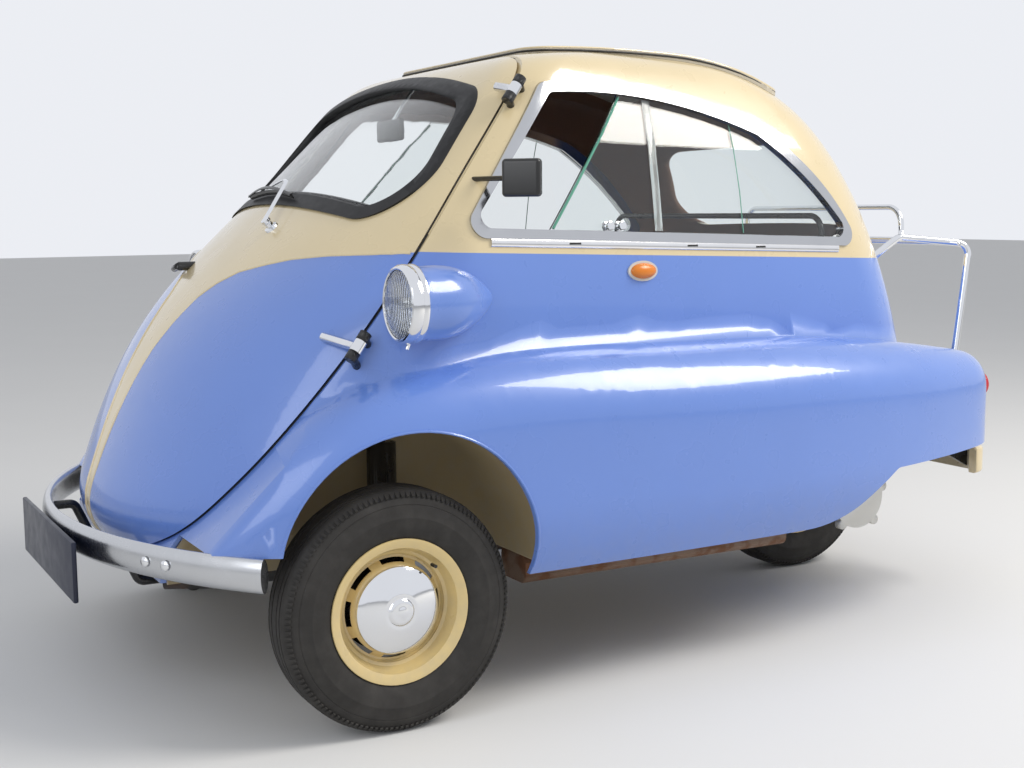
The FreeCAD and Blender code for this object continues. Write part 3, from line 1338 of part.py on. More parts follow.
lever = rod(HANDLE_TIP, HANDLE_ROOT, 8.0)
pivot = rod(HANDLE_ROOT, (HANDLE_ROOT[0], HANDLE_ROOT[1] + 90.0, HANDLE_ROOT[2]), 10.0)
feature("door_handle", fuse([lever, pivot]).cut(CLEARANCE))


def luggage_rack():
    """Two side loops that splay to the rear, a hoop above their front corners and two bars across."""
    r = size("rack_radius")
    pieces = []
    for side in (1, -1):
        run = [(side * x, station(y), z) for x, y, z in RACK_LOOP]
        pieces.append(bent_tube(run, [30.0, 30.0], r))
    (front_x, front_y, front_z), (rear_x, rear_y, rear_z) = RACK_LOOP[1], RACK_LOOP[2]
    front_y, rear_y = station(front_y), station(rear_y)
    hoop_z = size("rack_hoop_z")
    hoop = [(-front_x, front_y + 8.0, front_z - 8.0), (-front_x, front_y + 8.0, hoop_z),
            (front_x, front_y + 8.0, hoop_z), (front_x, front_y + 8.0, front_z - 8.0)]
    pieces.append(bent_tube(hoop, [45.0, 45.0], r * 0.8))
    pieces.append(rod((-front_x, front_y + 8.0, front_z - 6.0), (front_x, front_y + 8.0, front_z - 6.0), r * 0.7))
    pieces.append(rod((-rear_x, rear_y - 34.0, rear_z + 2.0), (rear_x, rear_y - 34.0, rear_z + 2.0), r * 0.7))
    return fuse(pieces)


feature("luggage_rack", luggage_rack().cut(CLEARANCE).cut(wing_solid(FIT)))

document.recompute()
for thing in document.Objects:
    if "Invalid" in thing.State or "Error" in thing.State:
        raise RuntimeError(f"{thing.Label} failed: {thing.State}")
os.makedirs("parts", exist_ok=True)
for thing in NODES:
    if thing.Shape.isNull() or not thing.Shape.isValid():
        raise RuntimeError(f"{thing.Label} has no valid shape")
    thing.Shape.exportStep(f"parts/{thing.Label}.step")
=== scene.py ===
"""Looks of a three-wheeled bubble car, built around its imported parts.

Metres. X points to the car's left, Y to its rear and Z up from the ground. A station is a distance
behind the cross plane just ahead of the front axle, as in the part's own tables.
"""

import json
import logging
import math
from collections.abc import Iterable, Sequence
from dataclasses import dataclass, field
from enum import Enum
from functools import cached_property

import bmesh
import bpy
from mathutils import Matrix, Vector
from mathutils.bvhtree import BVHTree

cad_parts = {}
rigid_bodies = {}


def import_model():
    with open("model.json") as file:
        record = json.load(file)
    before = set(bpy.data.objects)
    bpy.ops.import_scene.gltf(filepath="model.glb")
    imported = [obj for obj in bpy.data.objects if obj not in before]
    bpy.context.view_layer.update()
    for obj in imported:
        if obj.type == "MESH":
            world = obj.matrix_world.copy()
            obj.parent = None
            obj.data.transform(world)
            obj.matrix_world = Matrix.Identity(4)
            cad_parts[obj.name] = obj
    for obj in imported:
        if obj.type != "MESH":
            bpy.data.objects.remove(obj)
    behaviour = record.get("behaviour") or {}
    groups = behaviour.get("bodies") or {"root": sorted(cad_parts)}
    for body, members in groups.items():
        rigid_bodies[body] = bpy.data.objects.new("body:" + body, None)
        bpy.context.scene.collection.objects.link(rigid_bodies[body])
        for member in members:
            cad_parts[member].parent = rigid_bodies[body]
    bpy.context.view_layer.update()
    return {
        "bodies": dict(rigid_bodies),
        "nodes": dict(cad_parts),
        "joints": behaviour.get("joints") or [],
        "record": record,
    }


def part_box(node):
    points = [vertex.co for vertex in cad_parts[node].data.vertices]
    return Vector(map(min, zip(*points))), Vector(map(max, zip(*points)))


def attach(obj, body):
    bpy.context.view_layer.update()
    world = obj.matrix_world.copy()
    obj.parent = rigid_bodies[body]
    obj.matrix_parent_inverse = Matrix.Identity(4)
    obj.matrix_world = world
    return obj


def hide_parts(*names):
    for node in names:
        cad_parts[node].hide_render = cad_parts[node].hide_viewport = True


LOG = logging.getLogger("bubble_car")

DATUM_Y = -0.664  # Y of station 0
CREASE = math.radians(32.0)
MERGE = 1e-5
NOISE_LOW, NOISE_HIGH = 0.3, 0.7  # where most of a noise pattern's values lie
FAR = 3.0  # a distance outside the car, where lines to its skin start
UP = Vector((0.0, 0.0, 1.0))
REARWARD = Vector((0.0, 1.0, 0.0))

Colour = tuple[float, float, float]
Ring = list[bmesh.types.BMEdge]
Hit = tuple[Vector, Vector]


def at(x: float, station: float, z: float) -> Vector:
    """A point from its X, station and height."""
    return Vector((x, station + DATUM_Y, z))


class Side(Enum):
    """The car's two sides, with the sign of their X."""

    LEFT = 1
    RIGHT = -1

    @property
    def word(self) -> str:
        """The side's name as the nodes write it."""
        return self.name.lower()

    @property
    def inward(self) -> Vector:
        """Straight across the car from this side."""
        return Vector((-float(self.value), 0.0, 0.0))


class Body(Enum):
    """The moving bodies that pieces ride on."""

    ROOT = "root"
    DOOR = "door"
    STEERING_WHEEL = "steering_wheel"
    FRONT_LEFT = "wheel_front_left"
    FRONT_RIGHT = "wheel_front_right"
    REAR = "wheel_rear"
    KNUCKLE_LEFT = "knuckle_left"
    KNUCKLE_RIGHT = "knuckle_right"


# Finishes
class Dressing:
    """Adds and links the nodes of one material."""

    def __init__(self, name: str) -> None:
        """Start a material with a shader, its output and the piece's own coordinates."""
        self.material = bpy.data.materials.new(name)
        self.material.use_nodes = True
        self.tree = self.material.node_tree
        self.tree.nodes.clear()
        self.output = self.add("ShaderNodeOutputMaterial")
        self.shader = self.add("ShaderNodeBsdfPrincipled")
        self.link(self.shader.outputs["BSDF"], self.output.inputs["Surface"])
        self.place = self.add("ShaderNodeTexCoord").outputs["Object"]

    def add(self, kind: str, **settings: object) -> bpy.types.Node:
        """Add one node.

        Args:
            kind: the node's type name.
            settings: attributes that it gets.

        Returns:
            The new node.
        """
        made = self.tree.nodes.new(kind)
        for name, value in settings.items():
            setattr(made, name, value)
        return made

    def link(self, source: bpy.types.NodeSocket, target: bpy.types.NodeSocket) -> None:
        """Join an output to an input."""
        self.tree.links.new(source, target)

    def set(self, **values: object) -> None:
        """Set the shader's own sockets, written with underscores for spaces."""
        for name, value in values.items():
            self.shader.inputs[name.replace("_", " ")].default_value = value

    def axes(self) -> bpy.types.NodeOutputs:
        """The piece's X, Y and Z, each a socket of its own."""
        split = self.add("ShaderNodeSeparateXYZ")
        self.link(self.place, split.inputs["Vector"])
        return split.outputs

    def stretched(self, scale: Sequence[float]) -> bpy.types.NodeSocket:
        """The piece's coordinates, scaled along each axis."""
        mapping = self.add("ShaderNodeMapping")
        mapping.inputs["Scale"].default_value = tuple(scale)
        self.link(self.place, mapping.inputs["Vector"])
        return mapping.outputs["Vector"]

    def noise(
        self, scale: float, detail: float = 3.0, along: Sequence[float] = (1.0, 1.0, 1.0)
    ) -> bpy.types.NodeSocket:
        """A soft random pattern.

        Args:
            scale: how many blotches there are to a metre.
            detail: how many finer layers it has.
            along: stretch of the pattern on each axis.

        Returns:
            A socket from 0 to 1.
        """
        node = self.add("ShaderNodeTexNoise")
        node.inputs["Scale"].default_value = scale
        node.inputs["Detail"].default_value = detail
        self.link(self.stretched(along), node.inputs["Vector"])
        return node.outputs["Fac"]

    def waves(self, scale: float, axis: str, distort: float = 0.0) -> bpy.types.NodeSocket:
        """Fine parallel ridges across an axis."""
        node = self.add("ShaderNodeTexWave", bands_direction=axis)
        node.inputs["Scale"].default_value = scale
        node.inputs["Distortion"].default_value = distort
        self.link(self.place, node.inputs["Vector"])
        return node.outputs["Fac"]

    def ranged(
        self, source: bpy.types.NodeSocket, low: float, high: float, start: float, end: float
    ) -> bpy.types.NodeSocket:
        """A value moved from one range to another.

        Args:
            source: the value.
            low: value that becomes start.
            high: value that becomes end.
            start: result at low.
            end: result at high.

        Returns:
            The moved value, held within start and end.
        """
        node = self.add("ShaderNodeMapRange")
        for name, value in (("From Min", low), ("From Max", high), ("To Min", start), ("To Max", end)):
            node.inputs[name].default_value = value
        self.link(source, node.inputs["Value"])
        return node.outputs["Result"]

    def sums(self, kind: str, first: object, second: object) -> bpy.types.NodeSocket:
        """One sum of two values, each a socket or a number."""
        node = self.add("ShaderNodeMath", operation=kind)
        for socket, value in zip(node.inputs, (first, second)):
            if isinstance(value, bpy.types.NodeSocket):
                self.link(value, socket)
            else:
                socket.default_value = value
        return node.outputs["Value"]

    def mixed(self, share: bpy.types.NodeSocket, first: object, second: object) -> bpy.types.NodeSocket:
        """A colour between two colours.

        Args:
            share: 0 for the first colour, 1 for the second.
            first: a colour or a socket.
            second: a colour or a socket.

        Returns:
            The mixed colour.
        """
        node = self.add("ShaderNodeMix", data_type="RGBA")
        self.link(share, node.inputs["Factor"])
        for socket, value in ((node.inputs[6], first), (node.inputs[7], second)):
            if isinstance(value, bpy.types.NodeSocket):
                self.link(value, socket)
            else:
                socket.default_value = (*value, 1.0)
        return node.outputs[2]

    def mottled(self, tone: Colour, scale: float, low: float, high: float) -> bpy.types.NodeSocket:
        """A colour that wanders in blotches between two shades of a tone.

        Args:
            tone: the middle colour.
            scale: how many blotches there are to a metre.
            low: share of the tone in its darker blotches.
            high: share of the tone in its paler blotches.

        Returns:
            The colour.
        """
        return self.mixed(self.noise(scale), shade(tone, low), shade(tone, high))

    def colour(self, value: bpy.types.NodeSocket) -> None:
        """Give the shader its colour."""
        self.link(value, self.shader.inputs["Base Color"])

    def roughness(self, value: bpy.types.NodeSocket) -> None:
        """Give the shader its roughness."""
        self.link(value, self.shader.inputs["Roughness"])

    def around(
        self, noise: bpy.types.NodeSocket, value: float, low: float, high: float
    ) -> bpy.types.NodeSocket:
        """A value that follows a noise from one share of itself to another."""
        return self.ranged(noise, NOISE_LOW, NOISE_HIGH, value * low, value * high)

    def relief(self, height: bpy.types.NodeSocket, depth: float, strength: float = 1.0) -> None:
        """Give the shader a fine relief.

        Args:
            height: the pattern, 0 at its floor and 1 at its top.
            depth: how deep it is, in metres.
            strength: how much of it shows.
        """
        bump = self.add("ShaderNodeBump")
        bump.inputs["Distance"].default_value = depth
        bump.inputs["Strength"].default_value = strength
        self.link(height, bump.inputs["Height"])
        self.link(bump.outputs["Normal"], self.shader.inputs["Normal"])


def shade(colour: Colour, share: float) -> Colour:
    """A colour made darker or lighter by a share."""
    return tuple(min(1.0, c * share) for c in colour)


@dataclass(frozen=True)
class Finish:
    """One surface finish that pieces wear."""

    name: str
    tone: Colour
    slot: str
    rough: float = 0.4
    wear: float = 0.08

    def dress(self, kit: Dressing) -> None:
        """Plain coating whose colour and roughness vary a little."""
        kit.colour(kit.mottled(self.tone, 9.0, 1.0 - self.wear, 1.0 + self.wear))
        kit.roughness(kit.around(kit.noise(26.0), self.rough, 0.85, 1.2))

    @property
    def material(self) -> bpy.types.Material:
        """The finish's material, made once."""
        found = bpy.data.materials.get(self.name)
        if found is None:
            kit = Dressing(self.name)
            self.dress(kit)
            found = kit.material
        return found


@dataclass(frozen=True)
class Paint(Finish):
    """Old glossy paint under a clear coat, with a faint ripple and road dust low down."""

    dust: float = 0.16
    dust_top: float = 0.42
    dust_tone: Colour = (0.36, 0.33, 0.27)
    dust_foot: float = 0.2

    def dress(self, kit: Dressing) -> None:
        """Colour with dust, soft mottling and orange peel."""
        self.finish_colour(kit, self.clean(kit, self.tone))

    def clean(self, kit: Dressing, tone: Colour) -> bpy.types.NodeSocket:
        """A tone of clean paint, softly mottled."""
        return kit.mottled(tone, 5.0, 0.96, 1.04)

    def finish_colour(self, kit: Dressing, colour: bpy.types.NodeSocket) -> None:
        """Lay a clear coat, dust and ripple over a colour.

        Args:
            kit: the material being made.
            colour: the clean paint's colour.
        """
        kit.set(Coat_Weight=0.7, Coat_Roughness=0.06)
        low = kit.ranged(kit.axes()["Z"], self.dust_foot, self.dust_top, self.dust, 0.0)
        dusty = kit.sums("MULTIPLY", low, kit.ranged(kit.noise(38.0, 5.0), 0.35, 0.7, 0.3, 1.0))
        kit.colour(kit.mixed(dusty, colour, self.dust_tone))
        kit.roughness(kit.around(kit.noise(14.0), self.rough, 0.8, 1.2))
        kit.relief(kit.noise(90.0, 1.0), 0.00005, 0.2)


@dataclass(frozen=True)
class TwoTonePaint(Paint):
    """The door's paint: cream above a flared line and down a narrow middle band, blue elsewhere."""

    lower: Colour = (0.1, 0.2, 0.5)
    line: tuple[tuple[float, float], ...] = ()
    blend: float = 0.0012

    def dress(self, kit: Dressing) -> None:
        """Split the colours along the line, which is given as X and height."""
        axes = kit.axes()
        across = kit.sums("ABSOLUTE", axes["X"], 0.0)
        curve = kit.add("ShaderNodeFloatCurve")
        points = curve.mapping.curves[0].points
        for number, (x, z) in enumerate(self.line):
            if number in (0, len(self.line) - 1):
                points[0 if number == 0 else -1].location = (x, z)
            else:
                points.new(x, z)
        curve.mapping.update()
        kit.link(across, curve.inputs["Value"])
        above = kit.sums("SUBTRACT", axes["Z"], curve.outputs["Value"])
        share = kit.ranged(above, -self.blend, self.blend, 0.0, 1.0)
        self.finish_colour(kit, kit.mixed(share, self.clean(kit, self.lower), self.clean(kit, self.tone)))


@dataclass(frozen=True)
class Metal(Finish):
    """Bare or plated metal with fine scratches and dull spots."""

    scratch: float = 0.3

    def dress(self, kit: Dressing) -> None:
        """Bright metal whose roughness follows scratches and spots."""
        kit.set(Metallic=1.0)
        spots = kit.noise(18.0, 3.0)
        scratches = kit.noise(60.0, 4.0, (1.0, 20.0, 20.0))
        kit.colour(kit.mixed(spots, shade(self.tone, 0.94), self.tone))
        worn = kit.sums("MULTIPLY", kit.ranged(scratches, 0.5, 0.8, 0.0, 1.0), self.scratch)
        kit.roughness(kit.sums("ADD", kit.around(spots, self.rough, 0.85, 1.2), worn))
        kit.relief(scratches, 0.00002, 0.2)


@dataclass(frozen=True)
class RubberSkin(Finish):
    """Rubber or matt plastic with dust in its grain."""

    grain: float = 420.0

    def dress(self, kit: Dressing) -> None:
        """Dark grain with a pale bloom."""
        kit.set(Specular_IOR_Level=0.35)
        bloom = kit.ranged(kit.noise(22.0, 5.0), 0.45, 0.8, 0.0, 0.5)
        kit.colour(kit.mixed(bloom, self.tone, shade(self.tone, 2.3)))
        kit.roughness(kit.around(kit.noise(60.0), self.rough, 0.9, 1.1))
        kit.relief(kit.noise(self.grain, 2.0), 0.0003, 0.5)


@dataclass(frozen=True)
class Glass(Finish):
    """Clear sheet glass with a faint tint and wiped dust."""

    clear: float = 1.0

    def dress(self, kit: Dressing) -> None:
        """Transmissive, with dust that only dulls it a little."""
        kit.set(Transmission_Weight=self.clear, IOR=1.45)
        kit.colour(kit.mottled(self.tone, 3.0, 1.0, 0.985))
        kit.roughness(kit.ranged(kit.noise(6.0, 5.0), 0.45, 0.75, 0.0, self.rough))


@dataclass(frozen=True)
class Cloth(Finish):
    """Woven cloth or coated canvas: crossed threads and soft mottling."""

    threads: float = 900.0
    weave: float = 0.0005
    sheen: float = 0.3

    def dress(self, kit: Dressing) -> None:
        """Threads both ways, mottled colour and a little sheen."""
        kit.set(Sheen_Weight=self.sheen, Sheen_Roughness=0.5)
        cross = kit.sums("MULTIPLY", kit.waves(self.threads, "X", 0.4), kit.waves(self.threads, "Y", 0.4))
        blotch = kit.noise(7.0, 5.0)
        base = kit.mixed(blotch, shade(self.tone, 0.86), shade(self.tone, 1.1))
        kit.colour(kit.mixed(kit.ranged(cross, 0.0, 1.0, 0.0, 0.3), base, shade(self.tone, 0.6)))
        kit.roughness(kit.around(blotch, self.rough, 0.9, 1.1))
        kit.relief(cross, self.weave, 0.7)


@dataclass(frozen=True)
class Lens(Finish):
    """Moulded coloured or clear lamp glass with fine ribs."""

    ribs: float = 160.0
    clear: float = 0.6
    axis: str = "Y"

    def dress(self, kit: Dressing) -> None:
        """Ribbed, partly clear and glossy."""
        kit.set(Transmission_Weight=self.clear, IOR=1.5, Coat_Weight=0.5)
        kit.colour(kit.mottled(self.tone, 40.0, 1.0, 0.85))
        kit.roughness(kit.around(kit.noise(30.0), self.rough, 0.7, 1.3))
        kit.relief(kit.waves(self.ribs, self.axis), 0.0008, 0.6)


@dataclass(frozen=True)
class Rusted(Finish):
    """Thin paint over sheet steel that has rusted and been splashed."""

    rust: Colour = (0.17, 0.075, 0.035)

    def dress(self, kit: Dressing) -> None:
        """Patches of rust through the coating."""
        patches = kit.ranged(kit.noise(24.0, 8.0), 0.46, 0.6, 0.0, 1.0)
        kit.colour(kit.mixed(patches, self.tone, self.rust))
        kit.roughness(kit.ranged(patches, 0.0, 1.0, self.rough, 0.85))
        kit.relief(kit.noise(220.0, 5.0), 0.0005, 0.6)


BLUE = (0.135, 0.25, 0.66)
CREAM = (0.71, 0.585, 0.35)
PAINT_LINE = (
    (0.0, 0.0), (0.014, 0.30), (0.018, 0.40), (0.025, 0.50), (0.038, 0.60), (0.055, 0.70), (0.075, 0.76),
    (0.10, 0.81), (0.135, 0.84), (0.185, 0.865), (0.25, 0.88), (0.317, 0.893), (0.40, 0.901),
    (0.50, 0.905), (0.60, 0.908), (1.0, 0.93),
)
BODY_BLUE = Paint("body_blue", BLUE, "blue_paint", 0.3)
BODY_CREAM = Paint("body_cream", CREAM, "cream_paint", 0.3)
DOOR_PAINT = TwoTonePaint("door_two_tone", CREAM, "cabin_two_tone", 0.3, lower=BLUE, line=PAINT_LINE)
WHEEL_CREAM = Paint("wheel_cream", (0.74, 0.56, 0.24), "cream_paint", 0.32, dust=0.3, dust_top=0.5)
# Floor pan: the body's cream paint darkened as painted shade inside the cabin, with heavier real road dust
# on top
SHADED_INNER_CREAM = Paint("inner_cream", (0.42, 0.32, 0.16), "cream_paint", 0.5, dust=0.5, dust_top=0.7)
CHROME = Metal("chrome_plate", (0.82, 0.83, 0.85), "chrome", 0.06, scratch=0.08)
WINDOW_CHROME = Metal("window_chrome", (0.56, 0.57, 0.59), "polished", 0.12, scratch=0.1)
POLISHED = Metal("polished_aluminium", (0.86, 0.86, 0.87), "polished", 0.14, scratch=0.16)
BUMPER_ALLOY = Metal("bumper_aluminium", (0.6, 0.61, 0.63), "polished", 0.22, scratch=0.1)
CAST = Metal("cast_alloy", (0.45, 0.45, 0.44), "engine_alloy", 0.5, scratch=0.3)
WHITE_CASE = Paint("case_white", (0.72, 0.71, 0.67), "case_white", 0.4, dust=0.3, dust_top=0.4)
EXHAUST = Rusted("exhaust_steel", (0.2, 0.18, 0.16), "exhaust", 0.5)
DUCT = Rusted("duct_brown", (0.2, 0.12, 0.075), "duct_metal", 0.45)
FRAME_BLACK = Rusted("frame_black", (0.03, 0.03, 0.03), "frame_metal", 0.5, rust=(0.08, 0.045, 0.03))
BLACK = Finish("black_enamel", (0.014, 0.014, 0.015), "black_metal", 0.28, 0.2)
GASKET = RubberSkin("gasket_rubber", (0.012, 0.012, 0.013), "rubber", 0.5)
TYRE = RubberSkin("tyre_rubber", (0.028, 0.026, 0.024), "tyre", 0.72, grain=600.0)
PLASTIC = RubberSkin("black_plastic", (0.013, 0.013, 0.014), "black_plastic", 0.32, grain=900.0)
CLEAR = Glass("window_glass", (0.93, 0.96, 0.95), "glass", 0.02)
LAMP_GLASS = Lens("lamp_glass", (0.93, 0.95, 0.96), "glass", 0.03, ribs=46.0, clear=1.0, axis="X")
AMBER = Lens("amber_lens", (0.85, 0.16, 0.03), "amber_lens", 0.12)
RED = Lens("red_lens", (0.62, 0.02, 0.02), "red_lens", 0.12)
CANVAS = Cloth("roof_canvas", (0.66, 0.6, 0.48), "canvas", 0.75)
SEAT_CLOTH = Cloth("seat_cloth", (0.32, 0.13, 0.075), "seat_cloth", 0.85, threads=500.0, weave=0.0009)
IVORY = Finish("ivory_grip", (0.72, 0.65, 0.5), "grip", 0.2, 0.04)
NAVY_PLATE = Finish("bare_plate", (0.006, 0.01, 0.03), "black_metal", 0.35, 0.1)
PANE_EDGE = Finish("pane_edge", (0.12, 0.36, 0.26), "glass", 0.15, 0.1)
FROSTED = Glass("frosted_strip", (0.8, 0.84, 0.83), "glass", 0.55, clear=0.75)
LINING = Cloth("headlining", (0.2, 0.095, 0.055), "seat_cloth", 0.85, threads=700.0)
WHITE_LENS = Finish("lamp_base", (0.62, 0.6, 0.55), "cream_paint", 0.3, 0.05)


# Making pieces
def linked(name: str, data: bpy.types.ID) -> bpy.types.Object:
    """A new object in the scene."""
    made = bpy.data.objects.new(name, data)
    bpy.context.scene.collection.objects.link(made)
    return made


@dataclass
class Piece:
    """One finished object and how it is placed in the car."""

    name: str
    finish: Finish
    body: Body = Body.ROOT
    stands_for: tuple[str, ...] = ()
    crease: float = CREASE

    def finished(self, mesh: bmesh.types.BMesh, outward: bool = True) -> bpy.types.Object:
        """Turn a bmesh into an object that rides on its body.

        Args:
            mesh: the piece's shape, which is used up.
            outward: whether the faces are turned outwards again first.

        Returns:
            The new object.
        """
        bmesh.ops.remove_doubles(mesh, verts=mesh.verts, dist=MERGE)
        if outward:
            bmesh.ops.recalc_face_normals(mesh, faces=mesh.faces)
        data = bpy.data.meshes.new(self.name)
        mesh.to_mesh(data)
        mesh.free()
        data.shade_smooth()
        data.set_sharp_from_angle(angle=self.crease)
        data.materials.append(self.finish.material)
        made = linked(self.name, data)
        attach(made, self.body.value)
        if self.stands_for:
            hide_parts(*self.stands_for)
        LOG.info("%s: %d faces", self.name, len(data.polygons))
        return made


@dataclass
class CarParts:
    """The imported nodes, and search trees over them for pieces that lie on them."""

    nodes: dict[str, bpy.types.Object]
    shells: dict[str, BVHTree] = field(default_factory=dict)

    def copy(self, node: str) -> bmesh.types.BMesh:
        """A merged copy of a node's mesh."""
        mesh = bmesh.new()
        mesh.from_mesh(self.nodes[node].data)
        bmesh.ops.remove_doubles(mesh, verts=mesh.verts, dist=MERGE)
        return mesh

    def dressed(
        self, node: str, finish: Finish, body: Body = Body.ROOT, crease: float = CREASE
    ) -> bpy.types.Object:
        """A smooth copy of a node in its finish, which stands for the node.

        Args:
            node: the node's name.
            finish: what it wears.
            body: the body that it rides on.
            crease: angle above which an edge stays sharp.

        Returns:
            The new object.
        """
        piece = Piece(f"{node}_dressed", finish, body, (node,), crease)
        return piece.finished(self.copy(node), outward=False)

    def dress(self, looks: Iterable[tuple[str, Finish]], body: Body = Body.ROOT) -> None:
        """Dress several nodes that ride on one body."""
        for node, finish in looks:
            self.dressed(node, finish, body)

    def shell(self, *names: str) -> BVHTree:
        """A search tree over some nodes, made once."""
        key = "+".join(names)
        if key not in self.shells:
            mesh = bmesh.new()
            for name in names:
                mesh.from_mesh(self.nodes[name].data)
            self.shells[key] = BVHTree.FromBMesh(mesh)
            mesh.free()
        return self.shells[key]

    def on_shell(self, names: Sequence[str], start: Vector, direction: Vector) -> Hit | None:
        """Where a line from outside first meets some nodes.

        Args:
            names: the nodes.
            start: where the line starts.
            direction: which way it goes.

        Returns:
            The point and the outward direction there, or None where the line misses.
        """
        point, normal, _, _ = self.shell(*names).ray_cast(start, direction.normalized())
        if point is None:
            return None
        return point, (normal if normal.dot(direction) < 0 else -normal)

    def from_front(self, names: Sequence[str], x: float, z: float) -> Hit | None:
        """Where a line from straight ahead first meets some nodes."""
        return self.on_shell(names, Vector((x, -FAR, z)), REARWARD)

    def from_above(self, names: Sequence[str], x: float, y: float) -> Hit | None:
        """Where a line from straight above first meets some nodes."""
        return self.on_shell(names, Vector((x, y, FAR)), -UP)


def turned_to(direction: Vector, towards: Vector) -> Matrix:
    """A turn that takes Z to a direction and X as near as it can to another."""
    along = direction.normalized()
    across = (towards - along * towards.dot(along)).normalized()
    return Matrix((across, along.cross(across), along)).transposed().to_4x4()


def ring_at(mesh: bmesh.types.BMesh, place: Matrix, wide: float, high: float, corners: int) -> Ring:
    """Add one oval ring of edges to a mesh.

    Args:
        mesh: the mesh.
        place: where the ring's middle, X and Y lie.
        wide: half its size along X.
        high: half its size along Y.
        corners: how many corners it has.

    Returns:
        The ring's edges.
    """
    scaled = place @ Matrix.Diagonal((wide, high, 1.0, 1.0))
    made = bmesh.ops.create_circle(mesh, cap_ends=False, radius=1.0, segments=corners, matrix=scaled)
    return list({edge for vert in made["verts"] for edge in vert.link_edges})


def sweep(
    path: Sequence[Vector],
    wide: float,
    high: float | None = None,
    normals: Sequence[Vector] | None = None,
    corners: int = 12,
    closed: bool = False,
) -> bmesh.types.BMesh:
    """A bar of oval section along a path.

    Args:
        path: the points that its middle follows.
        wide: half its size across the path.
        high: half its size along the normals, or the same as wide.
        normals: the direction of its height at each point.
        corners: how many corners its section has.
        closed: whether its ends meet.

    Returns:
        The bar.
    """
    mesh = bmesh.new()
    count = len(path)
    rings: list[Ring] = []
    up = UP
    for number, point in enumerate(path):
        before = path[(number - 1) % count] if closed or number else point
        after = path[(number + 1) % count] if closed or number < count - 1 else point
        along = (after - before).normalized()
        if normals is not None:
            up = normals[number]
        elif abs(up.dot(along)) > 0.95:
            up = Vector((1.0, 0.0, 0.0)) if abs(along.x) < 0.8 else REARWARD
        else:
            up = (up - along * up.dot(along)).normalized()
        across = along.cross(up).normalized()
        place = Matrix.Translation(point) @ turned_to(along, across)
        rings.append(ring_at(mesh, place, wide, high or wide, corners))
    pairs = list(zip(rings, rings[1:]))
    if closed:
        pairs.append((rings[-1], rings[0]))
    for first, second in pairs:
        bmesh.ops.bridge_loops(mesh, edges=first + second)
    if not closed:
        bmesh.ops.holes_fill(mesh, edges=rings[0] + rings[-1], sides=0)
    return mesh


def strip(
    hits: Sequence[Hit], lift: float, wide: float, high: float, corners: int = 8, closed: bool = False
) -> bmesh.types.BMesh:
    """A bar that lies along points of the skin.

    Args:
        hits: the points, each with its outward direction.
        lift: how far the bar's middle stands off the skin.
        wide: half its size along the skin.
        high: half its size off the skin.
        corners: how many corners its section has.
        closed: whether its ends meet.

    Returns:
        The bar.
    """
    path = [point + normal * lift for point, normal in hits]
    return sweep(path, wide, high, [normal for _, normal in hits], corners, closed)


def lathe(
    outline: Sequence[tuple[float, float]],
    middle: Vector,
    axis: Vector,
    steps: int = 64,
    closed: bool = False,
) -> bmesh.types.BMesh:
    """A piece turned about an axis.

    Args:
        outline: distances along the axis and radii.
        middle: the axis's zero point.
        axis: which way distances grow.
        steps: faces round the piece.
        closed: whether the outline's end joins its start.

    Returns:
        The turned piece.
    """
    mesh = bmesh.new()
    across = axis.orthogonal().normalized()
    verts = [mesh.verts.new(middle + axis * along + across * radius) for along, radius in outline]
    pairs = list(zip(verts, verts[1:])) + ([(verts[-1], verts[0])] if closed else [])
    edges = [mesh.edges.new(pair) for pair in pairs]
    bmesh.ops.spin(
        mesh, geom=verts + edges, cent=middle, axis=axis, angle=math.tau, steps=steps, use_merge=True
    )
    bmesh.ops.remove_doubles(mesh, verts=mesh.verts, dist=MERGE)
    return mesh


def rounded_box(
    size: Sequence[float], place: Matrix, radius: float, segments: int
) -> bmesh.types.BMesh:
    """A box with round edges.

    Args:
        size: its three sizes.
        place: its middle and turn.
        radius: radius of its edges.
        segments: faces across each round edge.

    Returns:
        The box.
    """
    mesh = bmesh.new()
    bmesh.ops.create_cube(mesh, size=1.0, matrix=place @ Matrix.Diagonal((*size, 1.0)))
    bmesh.ops.bevel(
        mesh, geom=list(mesh.edges), offset=radius, offset_type="OFFSET", affect="EDGES",
        segments=segments, profile=0.5, material=-1,
    )
    return mesh


def joined(parts: Iterable[bmesh.types.BMesh]) -> bmesh.types.BMesh:
    """Several meshes as one, which uses them up."""
    whole = bmesh.new()
    for part in parts:
        data = bpy.data.meshes.new("part")
        part.to_mesh(data)
        part.free()
        whole.from_mesh(data)
        bpy.data.meshes.remove(data)
    return whole


def bend_path(corners: Sequence[Vector], radius: float, steps: int = 6) -> list[Vector]:
    """A path through corners with a round bend at each.

    Args:
        corners: the points where straight runs would meet.
        radius: how far from a corner its bend starts.
        steps: points in each bend.

    Returns:
        The points of the path.
    """
    path = [corners[0].copy()]
    for before, corner, after in zip(corners, corners[1:], corners[2:]):
        start = corner + (before - corner).normalized() * radius
        end = corner + (after - corner).normalized() * radius
        for step in range(steps + 1):
            share = step / steps
            path.append(start.lerp(corner, share).lerp(corner.lerp(end, share), share))
    path.append(corners[-1].copy())
    return path


